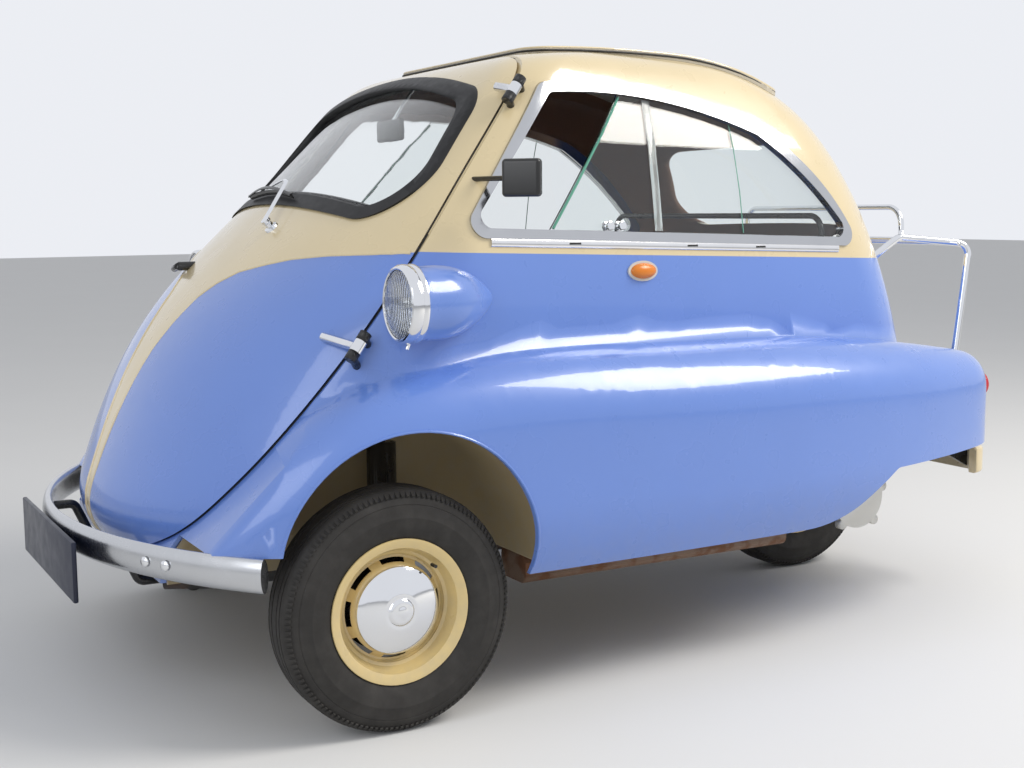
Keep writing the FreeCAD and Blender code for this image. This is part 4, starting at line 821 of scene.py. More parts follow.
# Sub-assemblies
@dataclass
class Wheel:
    """One road wheel with its tyre, pressed rim and cap.

    The disc's slots lie between slot_radii and reach slot_share of their pitch to each side.
    """

    parts: CarParts
    where: str
    body: Body
    outward: Side
    capped: bool = True
    radius: float = 0.235
    slots: int = 8
    slot_radii: tuple[float, float] = (0.0885, 0.0965)
    slot_share: float = 0.3
    ribs: int = 132

    @cached_property
    def middle(self) -> Vector:
        """Middle of the wheel, from its tyre's node."""
        low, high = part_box(f"tyre_{self.where}")
        return (low + high) / 2

    @property
    def axis(self) -> Vector:
        """The axle, towards the wheel's outer face."""
        return Vector((float(self.outward.value), 0.0, 0.0))

    def tyre_outline(self) -> list[tuple[float, float]]:
        """Half section of the tyre with its grooves and wall ridges."""
        r = self.radius
        half = [
            (0.0370, 0.1262), (0.0434, 0.1410), (0.0462, 0.1440), (0.0530, 0.1560), (0.0570, 0.1690),
            (0.0586, 0.1800), (0.0590, 0.1812), (0.0590, 0.1830), (0.0584, 0.1842), (0.0570, 0.1950),
            (0.0545, 0.2050), (0.0532, 0.2062), (0.0538, 0.2078), (0.0520, 0.2140), (0.0490, 0.2200),
            (0.0462, 0.2245), (0.0440, r - 0.0075), (0.0400, r - 0.0035), (0.0330, r - 0.0008),
            (0.0290, r - 0.0004), (0.0282, r - 0.0064), (0.0258, r - 0.0064), (0.0250, r - 0.0002),
            (0.0140, r), (0.0132, r - 0.0066), (0.0108, r - 0.0066), (0.0100, r), (0.0, r),
        ]
        outline = half + [(-along, radius) for along, radius in reversed(half[:-1])]
        inner = [
            (-0.028, 0.1262), (-0.0255, 0.175), (-0.032, 0.217), (0.032, 0.217), (0.0255, 0.175),
            (0.028, 0.1262),
        ]
        return outline + inner

    def tread_ribs(self) -> bmesh.types.BMesh:
        """Small blocks round both shoulders of the tread."""
        mesh = bmesh.new()
        across = self.axis.orthogonal().normalized()
        round_way = self.axis.cross(across)
        for sign in (1.0, -1.0):
            lean = (across * 0.8 + self.axis * sign * 0.6).normalized()
            place = Matrix.Translation(
                self.middle + self.axis * sign * 0.0468 + across * (self.radius - 0.0098)
            ) @ turned_to(lean, round_way)
            block = Matrix.Diagonal((0.0052, 0.0125, 0.003, 1.0))
            bmesh.ops.create_cube(mesh, size=1.0, matrix=place @ block)
        bmesh.ops.spin(
            mesh, geom=[*mesh.verts, *mesh.edges, *mesh.faces], cent=self.middle,
            axis=self.axis, angle=math.tau, steps=self.ribs, use_merge=False, use_duplicate=True,
        )
        return mesh

    def rim(self) -> bmesh.types.BMesh:
        """Rim and slotted disc."""
        outer = [
            (0.0480, 0.1380), (0.0478, 0.1404), (0.0455, 0.1412), (0.0435, 0.1395), (0.0390, 0.1264),
            (0.0370, 0.1256), (0.0210, 0.1228), (0.0120, 0.1060), (-0.0060, 0.1060), (-0.0120, 0.1200),
            (-0.0340, 0.1250), (-0.0378, 0.1256), (-0.0435, 0.1395), (-0.0455, 0.1412), (-0.0478, 0.1404),
            (-0.0480, 0.1380), (-0.0400, 0.1216), (-0.0210, 0.1165), (-0.0130, 0.1020), (0.0010, 0.1020),
            (0.0060, 0.1030), (0.0200, 0.1168), (0.0400, 0.1216),
        ]
        mesh = lathe(outer, self.middle, self.axis, 72, closed=True)
        disc = [
            (0.0045, 0.1035), (0.0052, 0.0980), (0.0100, 0.0935), (0.0150, 0.0900), (0.0196, 0.0870),
            (0.0236, 0.0820), (0.0256, 0.0760), (0.0262, 0.0340), (0.0290, 0.0330), (0.0290, 0.0150),
        ]
        plate = lathe(disc, self.middle, self.axis, self.slots * 12)
        self.cut_slots(plate)
        back = bmesh.ops.extrude_face_region(plate, geom=list(plate.faces), use_keep_orig=True)["geom"]
        verts = [item for item in back if isinstance(item, bmesh.types.BMVert)]
        bmesh.ops.translate(plate, verts=verts, vec=self.axis * -0.003)
        return joined([mesh, plate])

    def cut_slots(self, plate: bmesh.types.BMesh) -> None:
        """Open the curved slots in the slope of the disc."""
        across = self.axis.orthogonal().normalized()
        round_way = self.axis.cross(across)
        inner, outer = self.slot_radii
        gone = []
        for face in plate.faces:
            arm = face.calc_center_median() - self.middle
            reach = math.hypot(arm.dot(across), arm.dot(round_way))
            turn = math.atan2(arm.dot(round_way), arm.dot(across)) / math.tau * self.slots
            if inner < reach < outer and abs(turn - round(turn)) < self.slot_share:
                gone.append(face)
        bmesh.ops.delete(plate, geom=gone, context="FACES")

    def cap(self) -> bmesh.types.BMesh:
        """Domed cap with a raised middle, left bare."""
        seat = 0.0263
        outline = [
            (seat, 0.0780), (seat, 0.0845), (seat + 0.0025, 0.0850), (seat + 0.0055, 0.0838),
            (seat + 0.0085, 0.0790), (seat + 0.0125, 0.0700), (seat + 0.0170, 0.0560),
            (seat + 0.0200, 0.0440), (seat + 0.0216, 0.0360), (seat + 0.0222, 0.0330),
            (seat + 0.0216, 0.0300), (seat + 0.0218, 0.0270), (seat + 0.0240, 0.0250),
            (seat + 0.0262, 0.0215), (seat + 0.0270, 0.0180), (seat + 0.0264, 0.0150),
            (seat + 0.0282, 0.0100), (seat + 0.0290, 0.0),
        ]
        return lathe(outline, self.middle, self.axis, 72)

    def build(self) -> None:
        """Make the wheel's pieces."""
        carcass = lathe(self.tyre_outline(), self.middle, self.axis, 96, closed=True)
        self.finish("tyre", TYRE, joined([carcass, self.tread_ribs()]))
        self.finish("rim", WHEEL_CREAM, self.rim())
        valve_from = self.middle + self.axis * 0.030 + Vector((0.0, 0.073, 0.079))
        valve = sweep([valve_from, valve_from + self.axis * 0.018], 0.0036)
        Piece(f"valve_{self.where}", PLASTIC, self.body).finished(valve)
        if self.capped:
            self.finish("hub_cap", CHROME, self.cap())

    def finish(self, kind: str, look: Finish, mesh: bmesh.types.BMesh) -> None:
        """Finish a piece that stands for one of the wheel's nodes."""
        node = f"{kind}_{self.where}"
        Piece(f"{node}_dressed", look, self.body, (node,)).finished(mesh)


@dataclass
class Headlamp:
    """One headlamp: teardrop pod, chrome ring and ribbed glass."""

    parts: CarParts
    side: Side
    radius: float = 0.070

    def build(self) -> None:
        """Make the lamp's pieces."""
        word = self.side.word
        low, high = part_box(f"headlamp_{word}")
        middle = Vector(((low.x + high.x) / 2, low.y + 0.010, (low.z + high.z) / 2))
        rear = REARWARD
        r = self.radius
        ring = [
            (0.0236, r + 0.0008), (0.0222, r + 0.0034), (0.0190, r + 0.0042), (0.0150, r + 0.0036),
            (0.0120, r + 0.0020), (0.0090, r + 0.0034), (0.0020, r + 0.0038), (-0.0050, r + 0.0026),
            (-0.0092, r - 0.0004), (-0.0104, r - 0.0036), (-0.0092, r - 0.0060), (-0.0060, r - 0.0068),
        ]
        Piece(f"headlamp_ring_{word}", CHROME, Body.ROOT, (f"headlamp_{word}",)).finished(
            lathe(ring, middle, rear, 72)
        )
        glass = [
            (-0.0040, r - 0.0050), (-0.0078, r - 0.0072), (-0.0125, r * 0.72), (-0.0158, r * 0.42),
            (-0.0172, 0.0),
        ]
        inner = [(along + 0.0026, radius) for along, radius in reversed(glass)]
        Piece(f"headlamp_glass_{word}", LAMP_GLASS).finished(
            lathe(glass + inner, middle, rear, 64, closed=True)
        )
        bowl = [
            (-0.0040, r - 0.0070), (0.0060, r * 0.84), (0.0150, r * 0.62), (0.0200, r * 0.34), (0.0215, 0.0),
        ]
        Piece(f"headlamp_bowl_{word}", CHROME).finished(lathe(bowl, middle, rear, 48), outward=False)
        bulb = [(0.0215, 0.010), (0.0110, 0.010), (0.0070, 0.008), (0.0050, 0.0)]
        Piece(f"headlamp_bulb_{word}", POLISHED).finished(lathe(bulb, middle, rear, 24))
        self.parts.dressed(f"headlamp_pod_{word}", BODY_BLUE)
        screw = middle + Vector((0.0, 0.012, -r - 0.004))
        Piece(f"headlamp_screw_{word}", CHROME).finished(
            sweep([screw, screw + Vector((0.0, -0.004, -0.010))], 0.0035)
        )


@dataclass
class Shell:
    """The painted shell with its door seam, lining and arch lips.

    The seam's middle leaves the ground at the station foot and runs to the rear by slope for each unit
    of height. The door's skin is looked for at aside ahead of it. The rubber lies set_back behind the
    point found and sunk below the skin. Above the belt a bead lies bead_back behind the rubber.
    """

    parts: CarParts
    slope: float = 0.79
    foot: float = -0.594
    aside: float = 0.009
    sunk: float = 0.004
    belt: float = 0.925
    set_back: float = 0.006
    bead_back: float = 0.005

    def build(self) -> None:
        """Dress the shell's panels and add what lies along their edges and inside them."""
        # The floor pan wears the cream paint darkened as painted shade
        self.parts.dress((
            ("body_lower", BODY_BLUE), ("body_upper", BODY_CREAM), ("floor_pan", SHADED_INNER_CREAM),
        ))
        self.arch_lips()
        self.seam()
        self.lining()

    def ahead_of_seam(self, z: float) -> float:
        """Y at a height where the door's skin is found, just ahead of the seam's middle."""
        return DATUM_Y + self.foot + self.slope * z - self.aside

    def seam(self) -> None:
        """Rubber in the door's seam, and the cream bead beside it above the belt."""
        rubber: list[Hit] = []
        for side in (Side.RIGHT, Side.LEFT):
            run: list[Hit] = []
            for step in range(66):
                z = 0.345 + 0.0135 * step
                start = Vector((side.value, self.ahead_of_seam(z), z))
                hit = self.parts.on_shell(("door_shell",), start, side.inward)
                if hit is not None:
                    run.append((hit[0] + REARWARD * self.set_back - hit[1] * self.sunk, hit[1]))
            if side is Side.LEFT:
                run.reverse()
            rubber += run
            if side is Side.RIGHT:
                self.over_roof(rubber)
        Piece("door_seam_rubber", GASKET).finished(strip(rubber, 0.0, 0.0026, 0.0045))
        back = REARWARD * self.bead_back
        bead = [(point + back, normal) for point, normal in rubber if point.z > self.belt]
        Piece("door_seam_bead", BODY_CREAM).finished(strip(bead, 0.0042, 0.0034, 0.0030))

    def over_roof(self, rubber: list[Hit]) -> None:
        """Carry the seam's path over the roof from right to left.

        Args:
            rubber: the path with its outward directions, which grows.
        """
        edge = abs(rubber[-1][0].x)
        for step in range(-19, 20):
            top = rubber[-1][0].z
            x, z = edge * 0.97 * step / 19, top
            for _ in range(5):
                hit = self.parts.from_above(("door_shell",), x, self.ahead_of_seam(z))
                if hit is None:
                    break
                z = hit[0].z
            if hit is not None and hit[0].z > top - 0.04:
                rubber.append((hit[0] + REARWARD * self.aside - hit[1] * self.sunk, hit[1]))

    def lining(self) -> None:
        """Brown headlining on the inner faces of the upper cabin."""
        mesh = self.parts.copy("body_upper")
        middle = at(0.0, 0.75, 0.95)
        outer = [f for f in mesh.faces if f.normal.dot(middle - f.calc_center_median()) < 0.12]
        bmesh.ops.delete(mesh, geom=outer, context="FACES")
        for vert in mesh.verts:
            vert.co += vert.normal * 0.0015
        Piece("headlining", LINING).finished(mesh, outward=False)

    def arch_lips(self) -> None:
        """Rolled edge round each front wheel arch."""
        middle, radius = at(0.0, 0.055, 0.326), 0.2545
        for side in Side:
            path, normals = [], []
            for step in range(41):
                turn = math.radians(-8.0 + 196.0 * step / 40)
                arm = Vector((0.0, math.cos(turn), math.sin(turn)))
                start = middle + arm * (radius + 0.004) + Vector((side.value * 0.9, 0.0, 0.0))
                hit = self.parts.on_shell(("body_lower",), start, side.inward)
                if hit is None or abs(hit[0].x) < 0.55:
                    continue
                edge = Vector((hit[0].x - side.value * 0.001, 0.0, 0.0))
                path.append(middle + arm * (radius + 0.002) + edge)
                normals.append(arm)
            lip = sweep(path, 0.0040, 0.0030, normals, 8)
            Piece(f"arch_lip_{side.word}", BODY_BLUE).finished(lip)


@dataclass
class FrontDoor:
    """The front door with its screen, paint ridges, wiper and fittings."""

    parts: CarParts

    def build(self) -> None:
        """Make the door's pieces."""
        parts = self.parts
        parts.dressed("door_shell", DOOR_PAINT, Body.DOOR)
        parts.dressed("windscreen_seal", GASKET, Body.DOOR, math.radians(50.0))
        parts.dress((
            ("windscreen", CLEAR), ("door_handle", PLASTIC), ("hinge_straps", CHROME),
            ("steering_column", BODY_CREAM), ("instrument_pod", BODY_CREAM),
        ), Body.DOOR)
        self.ridges()
        self.wiper()

    def ridges(self) -> None:
        """Pressed ridge along the paint line on both sides of the middle band."""
        for side in Side:
            hits = []
            for (x0, z0), (x1, z1) in zip(PAINT_LINE[1:-2], PAINT_LINE[2:-1]):
                for step in range(4):
                    share = step / 4
                    x, z = x0 + (x1 - x0) * share, z0 + (z1 - z0) * share
                    hit = self.parts.from_front(("door_shell",), side.value * x, max(z, 0.315))
                    if hit is not None:
                        hits.append(hit)
            ridge = strip(hits, 0.0, 0.0045, 0.0024)
            Piece(f"door_ridge_{side.word}", BODY_CREAM, Body.DOOR).finished(ridge)

    def wiper(self) -> None:
        """Wiper pivot, arm and blade."""
        base, normal = self.on_front(0.147, 0.952)
        head = base + normal * 0.024
        outline = [
            (0.0, 0.016), (0.004, 0.015), (0.007, 0.009), (0.014, 0.008), (0.018, 0.0105), (0.024, 0.010),
            (0.028, 0.0),
        ]
        Piece("wiper_pivot", CHROME, Body.DOOR).finished(lathe(outline, base, normal, 24))
        over, lift = self.on_front(0.06, 1.035)
        middle, out = self.on_front(-0.01, 1.022)
        arm = bend_path([head, over + lift * 0.034, middle + out * 0.020], 0.03)
        Piece("wiper_arm", CHROME, Body.DOOR).finished(sweep(arm, 0.0050, 0.0020, corners=8))
        bows = [math.sin(math.pi * step / 10) for step in range(11)]
        line = [self.on_front(-0.150 + 0.028 * step, 1.012 + 0.010 * bow) for step, bow in enumerate(bows)]
        bowed = [(point + outward * 0.010 * bow, outward) for (point, outward), bow in zip(line, bows)]
        Piece("wiper_blade", PLASTIC, Body.DOOR).finished(strip(line, 0.009, 0.0022, 0.0070))
        Piece("wiper_holder", PLASTIC, Body.DOOR).finished(strip(bowed, 0.013, 0.0045, 0.0022))

    def on_front(self, x: float, z: float) -> Hit:
        """The door's outer face, screen and all, straight ahead at an X and height."""
        hit = self.parts.from_front(("door_shell", "windscreen", "windscreen_seal"), x, z)
        if hit is None:
            raise ValueError(f"the door has no face at {x}, {z}")
        return hit


@dataclass
class Windows:
    """Side windows with their frames, panes and catches, and the rear window."""

    parts: CarParts

    def build(self) -> None:
        """Dress the frames and glass and add the panes' edges, rails and catches."""
        for side in Side:
            self.parts.dressed(f"window_frame_{side.word}", WINDOW_CHROME)
            self.parts.dressed(f"side_glass_{side.word}", CLEAR)
            self.pane_edges(side)
            self.rail(side)
            self.catch(side)
        self.parts.dressed("rear_window", CLEAR)

    def outside(self, side: Side, names: Sequence[str], station: float, z: float) -> Hit:
        """Where a line straight across the car meets some nodes.

        Args:
            side: the side that it comes from.
            names: the nodes.
            station: its station.
            z: its height.

        Returns:
            The point and the outward direction there.
        """
        hit = self.parts.on_shell(names, at(side.value, station, z), side.inward)
        if hit is None:
            raise ValueError(f"nothing at station {station} and height {z}")
        return hit

    def pane_edges(self, side: Side) -> None:
        """Ground edges of two panes and the frosted strip between them."""
        names = (f"side_glass_{side.word}",)
        front = ((0.420, 0.9475), (0.492, 1.038), (0.572, 1.137), (0.638, 1.219))
        middle = ((0.701, 0.938), (0.703, 1.02), (0.708, 1.12), (0.714, 1.215))
        rear = ((0.949, 0.930), (0.950, 1.02), (0.951, 1.12), (0.951, 1.170))
        for label, finish, wide, high, places in (
            ("front_edge", PANE_EDGE, 0.0030, 0.0030, front),
            ("strip", FROSTED, 0.0110, 0.0008, middle),
            ("rear_edge", PANE_EDGE, 0.0012, 0.0010, rear),
        ):
            hits = [self.outside(side, names, station, z) for station, z in places]
            Piece(f"pane_{label}_{side.word}", finish).finished(strip(hits, 0.0012, wide, high))

    def rail(self, side: Side) -> None:
        """Satin rail under the panes with its black drain slots."""
        names = (f"window_frame_{side.word}", "body_upper", "body_lower")
        places = [(0.262 + 0.0985 * step, 0.9245 - 0.00345 * step) for step in range(11)]
        hits = [self.outside(side, names, station, z) for station, z in places]
        Piece(f"window_rail_{side.word}", POLISHED).finished(strip(hits, 0.0015, 0.0095, 0.0030, 12))
        slots = []
        for station, z in ((0.466, 0.9165), (0.785, 0.9055), (0.990, 0.8985)):
            point, normal = self.outside(side, names, station, z)
            place = Matrix.Translation(point + normal * 0.0042) @ turned_to(normal, REARWARD)
            slots.append(rounded_box((0.030, 0.0045, 0.0016), place, 0.0007, 2))
        Piece(f"window_slots_{side.word}", BLACK).finished(joined(slots))

    def catch(self, side: Side) -> None:
        """Two round catch knobs on the sliding pane."""
        outline = [
            (0.0, 0.0110), (0.003, 0.0110), (0.004, 0.0070), (0.010, 0.0065), (0.012, 0.0100),
            (0.017, 0.0095), (0.019, 0.0),
        ]
        knobs = []
        for station in (0.558, 0.590):
            point, normal = self.outside(side, (f"side_glass_{side.word}",), station, 0.949)
            knobs.append(lathe(outline, point, normal, 20))
        Piece(f"window_knobs_{side.word}", CHROME).finished(joined(knobs))


@dataclass
class Fittings:
    """Bumpers, lamps, mirror, hinges and the luggage rack.

    The side lamps' place is a station and a height, and their sizes are halves.
    """

    parts: CarParts
    plate_size: tuple[float, float, float] = (0.515, 0.010, 0.122)
    plate_height: float = 0.292
    lamp_place: tuple[float, float] = (0.642, 0.856)
    lamp_base: tuple[float, float] = (0.040, 0.0215)
    lamp_lens: tuple[float, float, float] = (0.0165, 0.0340, 0.0140)

    def build(self) -> None:
        """Dress the fittings and add the bare plate, the bolts and the side lamps."""
        self.front_bumper()
        self.parts.dress((
            ("bumper_brackets", BLACK), ("rear_bumpers", BODY_CREAM), ("rear_brackets", BLACK),
            ("tail_lamps", RED), ("mirror", PLASTIC), ("hinge_pins", BLACK), ("luggage_rack", CHROME),
        ))
        self.plate()
        self.bolts()
        self.side_lamps()

    def front_bumper(self) -> None:
        """Bowed bumper whose face is round from its upper to its lower edge."""
        low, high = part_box("front_bumper")
        half, depth = (high.x - low.x) / 2 - 0.002, high.y - low.y
        thick, height, half_steps = 0.026, high.z - low.z, 24
        radius = (half * half + depth * depth) / (2.0 * depth)
        middle = Vector((0.0, low.y + radius, (low.z + high.z) / 2))
        span = math.asin(half / radius)
        path, normals = [], []
        for step in range(2 * half_steps + 1):
            turn = span * (step / half_steps - 1.0)
            out = Vector((math.sin(turn), -math.cos(turn), 0.0))
            path.append(middle + out * (radius - thick / 2))
            normals.append(out)
        bar = sweep(path, height / 2, thick / 2, normals, 28)
        Piece("front_bumper_dressed", BUMPER_ALLOY, Body.ROOT, ("front_bumper",)).finished(bar)

    def plate(self) -> None:
        """Bare plate that hangs ahead of the front bumper."""
        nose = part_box("front_bumper")[0].y
        place = Matrix.Translation((0.0, nose - 0.007, self.plate_height))
        Piece("front_plate", NAVY_PLATE).finished(rounded_box(self.plate_size, place, 0.003, 2))

    def side_lamps(self) -> None:
        """Amber oval lens on a pale base, on each flank."""
        bases, lenses = [], []
        for side in Side:
            hit = self.parts.on_shell(("body_lower",), at(side.value, *self.lamp_place), side.inward)
            if hit is not None:
                point, normal = hit
                ends = [point - normal * 0.004, point + normal * 0.004]
                bases.append(sweep(ends, *self.lamp_base, [UP] * 2, 28))
                place = Matrix.Translation(ends[1]) @ turned_to(normal, UP)
                lens = bmesh.new()
                bmesh.ops.create_uvsphere(
                    lens, u_segments=32, v_segments=16, radius=1.0,
                    matrix=place @ Matrix.Diagonal((*self.lamp_lens, 1.0)),
                )
                lenses.append(lens)
        Piece("indicator_bases", WHITE_LENS).finished(joined(bases))
        Piece("indicator_lenses", AMBER, Body.ROOT, ("side_indicators",)).finished(joined(lenses))

    def bolts(self) -> None:
        """Pairs of dome-headed bolts near the front bumper's ends."""
        outline = [(0.0, 0.0105), (0.0022, 0.0098), (0.0042, 0.0070), (0.0050, 0.0)]
        heads = []
        for side in Side:
            for x in (0.418, 0.468):
                hit = self.parts.from_front(("front_bumper",), side.value * x, 0.337)
                if hit is not None:
                    heads.append(lathe(outline, *hit, 20))
        Piece("bumper_bolts", CHROME).finished(joined(heads))


@dataclass
class Interior:
    """Seat, steering wheel, parcel rail and the small mirror.

    The cushions have channels of depth stitch, edges of radius corner and a mesh of pitch voxel. Their
    cloth swells under pressure for some frames.
    """

    parts: CarParts
    channels: int = 9
    stitch: float = 0.009
    stitch_half_width: float = 0.007
    corner: float = 0.028
    voxel: float = 0.008
    pressure: float = 4.0
    quality: int = 4
    frames: int = 20

    def build(self) -> None:
        """Dress the inside."""
        self.parts.dress((("seat_base", BLACK), ("parcel_rail", BLACK)))
        self.parts.dressed("steering_wheel", IVORY, Body.STEERING_WHEEL)
        self.inner_mirror()
        low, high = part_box("seat_cushion")
        self.cushion("seat_cushion", 0.0, high.y - low.y, high.z - low.z, 0.012)
        self.cushion("seat_back", 8.0, 0.094, 0.345, 0.010)

    def inner_mirror(self) -> None:
        """Small mirror that hangs from the roof behind the windscreen."""
        place = Matrix.Translation(at(0.04, 0.30, 1.165))
        Piece("inner_mirror", PLASTIC).finished(rounded_box((0.13, 0.014, 0.048), place, 0.006, 3))
        stem = [at(0.04, 0.302, 1.18), at(0.04, 0.36, 1.262)]
        Piece("inner_mirror_stem", CHROME).finished(sweep(stem, 0.004))

    def cushion(self, node: str, lean: float, thick: float, rise: float, cap: float) -> None:
        """One padded piece, swelled by cloth pressure and then sewn into channels.

        Args:
            node: the plain solid that it stands for.
            lean: how far it leans back, in degrees.
            thick: its size to the rear.
            rise: its height.
            cap: how far a point may swell.
        """
        low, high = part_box(node)
        turn = Matrix.Translation((low + high) / 2) @ Matrix.Rotation(math.radians(-lean), 4, "X")
        size = (high.x - low.x - 2.0 * cap, thick - 2.0 * cap, rise - 2.0 * cap)
        blank = rounded_box(size, turn, self.corner, 4)
        made = Piece(f"{node}_dressed", SEAT_CLOTH, Body.ROOT, (node,), math.pi).finished(blank)
        self.swell(made, cap)
        self.sew(made, turn, size, lean > 0.0)

    def swell(self, made: bpy.types.Object, cap: float) -> None:
        """Blow a piece up with cloth pressure, held within a cap.

        Args:
            made: the piece, whose mesh is replaced.
            cap: how far a point may move.
        """
        remesh = made.modifiers.new("Remesh", "REMESH")
        remesh.mode, remesh.voxel_size = "VOXEL", self.voxel
        self.apply(made)
        before = [vert.co.copy() for vert in made.data.vertices]
        cloth = made.modifiers.new("Cloth", "CLOTH")
        cloth.settings.use_pressure = True
        cloth.settings.uniform_pressure_force = self.pressure
        cloth.settings.quality = self.quality
        cloth.settings.effector_weights.gravity = 0.0
        cloth.collision_settings.use_collision = False
        for frame in range(1, self.frames + 1):
            bpy.context.scene.frame_set(frame)
        self.apply(made)
        for vert, start in zip(made.data.vertices, before):
            move = vert.co - start
            if move.length > cap:
                vert.co = start + move.normalized() * cap
        finer = made.modifiers.new("Finer", "SUBSURF")
        finer.levels = finer.render_levels = 1
        self.apply(made)

    def apply(self, made: bpy.types.Object) -> None:
        """Bake the piece's modifiers into its mesh."""
        graph = bpy.context.evaluated_depsgraph_get()
        baked = bpy.data.meshes.new_from_object(made.evaluated_get(graph))
        made.modifiers.clear()
        made.data = baked

    def sew(self, made: bpy.types.Object, turn: Matrix, size: Sequence[float], upright: bool) -> None:
        """Press the sewn channels into the piece's face.

        Args:
            made: the swelled piece.
            turn: its middle and lean.
            size: its sizes before it swelled.
            upright: whether its face looks forwards, not up.
        """
        back = turn.inverted()
        pitch = size[0] / self.channels
        for vert in made.data.vertices:
            local = back @ vert.co
            reach = local.y if upright else -local.z
            edge = size[1] / 2 if upright else size[2] / 2
            facing = min(1.0, max(0.0, -reach / edge))
            offset = abs((local.x / pitch + 0.5) % 1.0 - 0.5) * pitch
            groove = math.exp(-((offset / self.stitch_half_width) ** 2)) * self.stitch * facing
            vert.co = turn @ (local + (REARWARD if upright else -UP) * groove)
        made.data.shade_smooth()


@dataclass
class Roof:
    """The folding canvas roof."""

    parts: CarParts

    def build(self) -> None:
        """Dress the canvas over its opening and bind its edge."""
        low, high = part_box("canvas_roof")
        canvas = self.parts.dressed("canvas_roof", CANVAS)
        self.binding(low, high)

    def binding(self, low: Vector, high: Vector) -> None:
        """Bead and dark seam round the canvas."""
        corner, inset = 0.055, 0.004
        path = []
        middle, half = (low + high) / 2, (high - low) / 2
        for number, (sx, sy) in enumerate(((1, -1), (1, 1), (-1, 1), (-1, -1))):
            for step in range(9):
                turn = math.radians(-90.0 + 90.0 * number + 90.0 * step / 8)
                x = middle.x + sx * (half.x - corner) + (corner - inset) * math.cos(turn)
                y = middle.y + sy * (half.y - corner) + (corner - inset) * math.sin(turn)
                path.append((x, y))
        full: list[tuple[float, float]] = []
        for (x0, y0), (x1, y1) in zip(path, path[1:] + path[:1]):
            parts = max(1, round(math.dist((x0, y0), (x1, y1)) / 0.04))
            full += [(x0 + (x1 - x0) * k / parts, y0 + (y1 - y0) * k / parts) for k in range(parts)]
        found = [self.parts.from_above(("canvas_roof",), x, y) for x, y in full]
        hits = [hit for hit in found if hit is not None]
        Piece("canvas_binding", BODY_CREAM).finished(strip(hits, 0.0, 0.0045, 0.0030, closed=True))
        seam = []
        for point, normal in hits:
            foot = point - normal * 0.0065
            outward = Vector((foot.x - middle.x, foot.y - middle.y, 0.0)).normalized()
            seam.append((foot + outward * 0.006, normal))
        Piece("canvas_seam", GASKET).finished(strip(seam, 0.0, 0.0022, 0.0022, closed=True))


@dataclass
class RunningGear:
    """Frame, knuckles, rear axle, engine and exhaust."""

    parts: CarParts

    def build(self) -> None:
        """Dress what carries and drives the wheels."""
        self.parts.dressed("chassis_frame", FRAME_BLACK)
        self.parts.dressed("knuckle_left", BLACK, Body.KNUCKLE_LEFT)
        self.parts.dressed("knuckle_right", BLACK, Body.KNUCKLE_RIGHT)
        self.parts.dress((
            ("chain_case", WHITE_CASE), ("engine_block", CAST), ("silencer", EXHAUST), ("sill_duct", DUCT),
            ("front_dampers", BLACK),
        ))


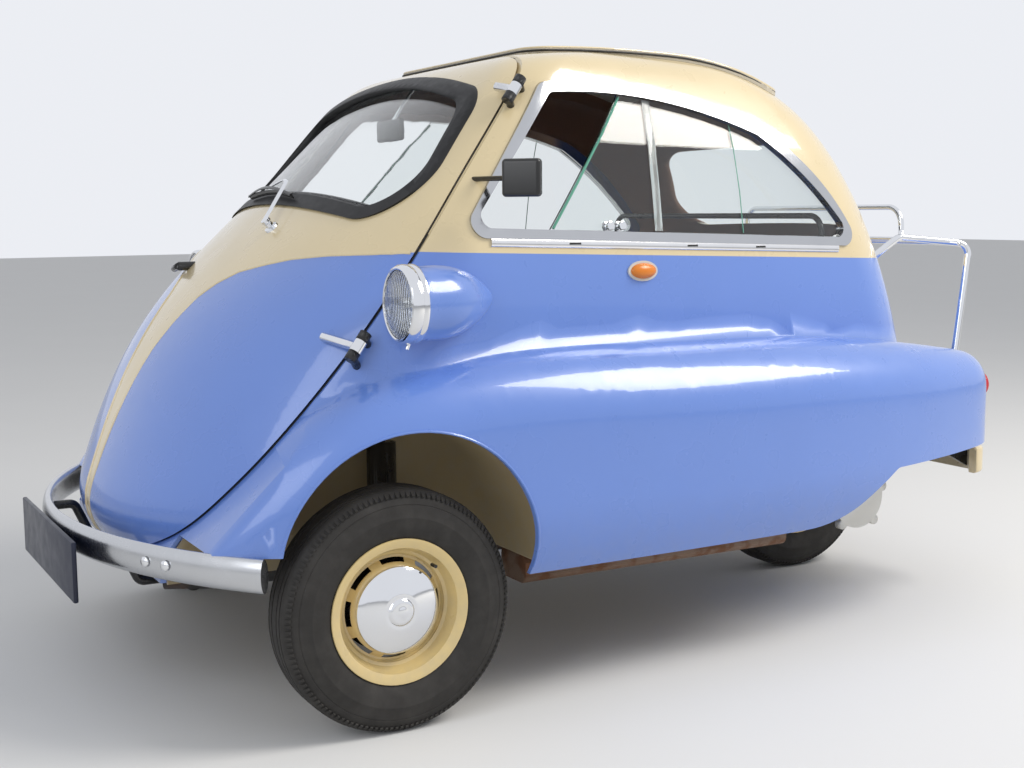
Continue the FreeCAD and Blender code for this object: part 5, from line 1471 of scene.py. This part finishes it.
@dataclass
class Studio:
    """Floor, light and a camera that stands and looks as the photograph's did.

    The roll is in degrees and the lens in millimetres.
    """

    camera_place: Vector = field(default_factory=lambda: Vector((3.022, -1.696, 0.987)))
    camera_line: Vector = field(default_factory=lambda: Vector((-0.8697, 0.4782, -0.1226)))
    camera_roll: float = -0.496
    lens: float = 49.76

    def build(self) -> None:
        """Make the studio."""
        self.floor()
        self.world()
        self.lamps()
        self.camera()

    def floor(self) -> None:
        """Plain pale floor that takes the car's shadow."""
        mesh = bmesh.new()
        bmesh.ops.create_grid(mesh, x_segments=1, y_segments=1, size=30.0)
        data = bpy.data.meshes.new("floor")
        mesh.to_mesh(data)
        mesh.free()
        floor = linked("floor", data)
        kit = Dressing("pale_floor")
        kit.colour(kit.mixed(kit.noise(1.5), (0.78, 0.78, 0.77), (0.8, 0.8, 0.79)))
        kit.set(Roughness=0.9, Specular_IOR_Level=0.1)
        data.materials.append(kit.material)

    def world(self) -> None:
        """Soft sky: white where it is seen or mirrored, and weaker as light."""
        world = bpy.data.worlds.new("studio")
        bpy.context.scene.world = world
        world.use_nodes = True
        tree = world.node_tree
        background = tree.nodes["Background"]
        background.inputs["Color"].default_value = (0.93, 0.95, 1.0, 1.0)
        rays = tree.nodes.new("ShaderNodeLightPath")
        seen = rays.outputs["Is Camera Ray"]
        for kind in ("Is Transmission Ray", "Is Glossy Ray"):
            either = tree.nodes.new("ShaderNodeMath")
            either.operation = "MAXIMUM"
            tree.links.new(seen, either.inputs[0])
            tree.links.new(rays.outputs[kind], either.inputs[1])
            seen = either.outputs["Value"]
        strength = tree.nodes.new("ShaderNodeMapRange")
        strength.inputs["To Min"].default_value = 0.55
        strength.inputs["To Max"].default_value = 0.9
        tree.links.new(seen, strength.inputs["Value"])
        tree.links.new(strength.outputs["Result"], background.inputs["Strength"])

    def lamps(self) -> None:
        """One large soft key lamp and a weaker fill."""
        for name, place, size, power, colour in (
            ("key", Vector((2.6, 3.2, 4.2)), 2.4, 210.0, (1.0, 0.96, 0.9)),
            ("fill", Vector((2.2, -4.4, 2.6)), 3.0, 60.0, (0.95, 0.97, 1.0)),
        ):
            data = bpy.data.lights.new(name, "AREA")
            data.size, data.energy, data.color = size, power, colour
            lamp = linked(name, data)
            lamp.location = place
            lamp.rotation_mode = "QUATERNION"
            lamp.rotation_quaternion = (Vector((0.0, 0.0, 0.5)) - place).to_track_quat("-Z", "Y")

    def camera(self) -> None:
        """Camera at the photograph's viewing angle."""
        data = bpy.data.cameras.new("camera")
        data.lens, data.sensor_width = self.lens, 36.0
        camera = linked("camera", data)
        camera.location = self.camera_place
        turn = self.camera_line.to_track_quat("-Z", "Y").to_matrix()
        roll = Matrix.Rotation(math.radians(self.camera_roll), 3, "Z")
        camera.rotation_mode = "QUATERNION"
        camera.rotation_quaternion = (turn @ roll).to_quaternion()
        bpy.context.scene.camera = camera
        bpy.context.scene.view_settings.view_transform = "Standard"


def main() -> None:
    """Build the car's sub-assemblies in order."""
    logging.basicConfig(level=logging.INFO, format="%(name)s %(message)s")
    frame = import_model()
    parts = CarParts(frame["nodes"])
    assemblies: list[object] = [
        Shell(parts),
        FrontDoor(parts),
        Windows(parts),
        Roof(parts),
        Headlamp(parts, Side.LEFT),
        Headlamp(parts, Side.RIGHT),
        Wheel(parts, "front_left", Body.FRONT_LEFT, Side.LEFT),
        Wheel(parts, "front_right", Body.FRONT_RIGHT, Side.RIGHT),
        Wheel(parts, "rear", Body.REAR, Side.LEFT, capped=False),
        Fittings(parts),
        Interior(parts),
        RunningGear(parts),
        Studio(),
    ]
    for assembly in assemblies:
        assembly.build()
        LOG.info("%s is built", type(assembly).__name__)


if __name__ == "__main__":
    main()
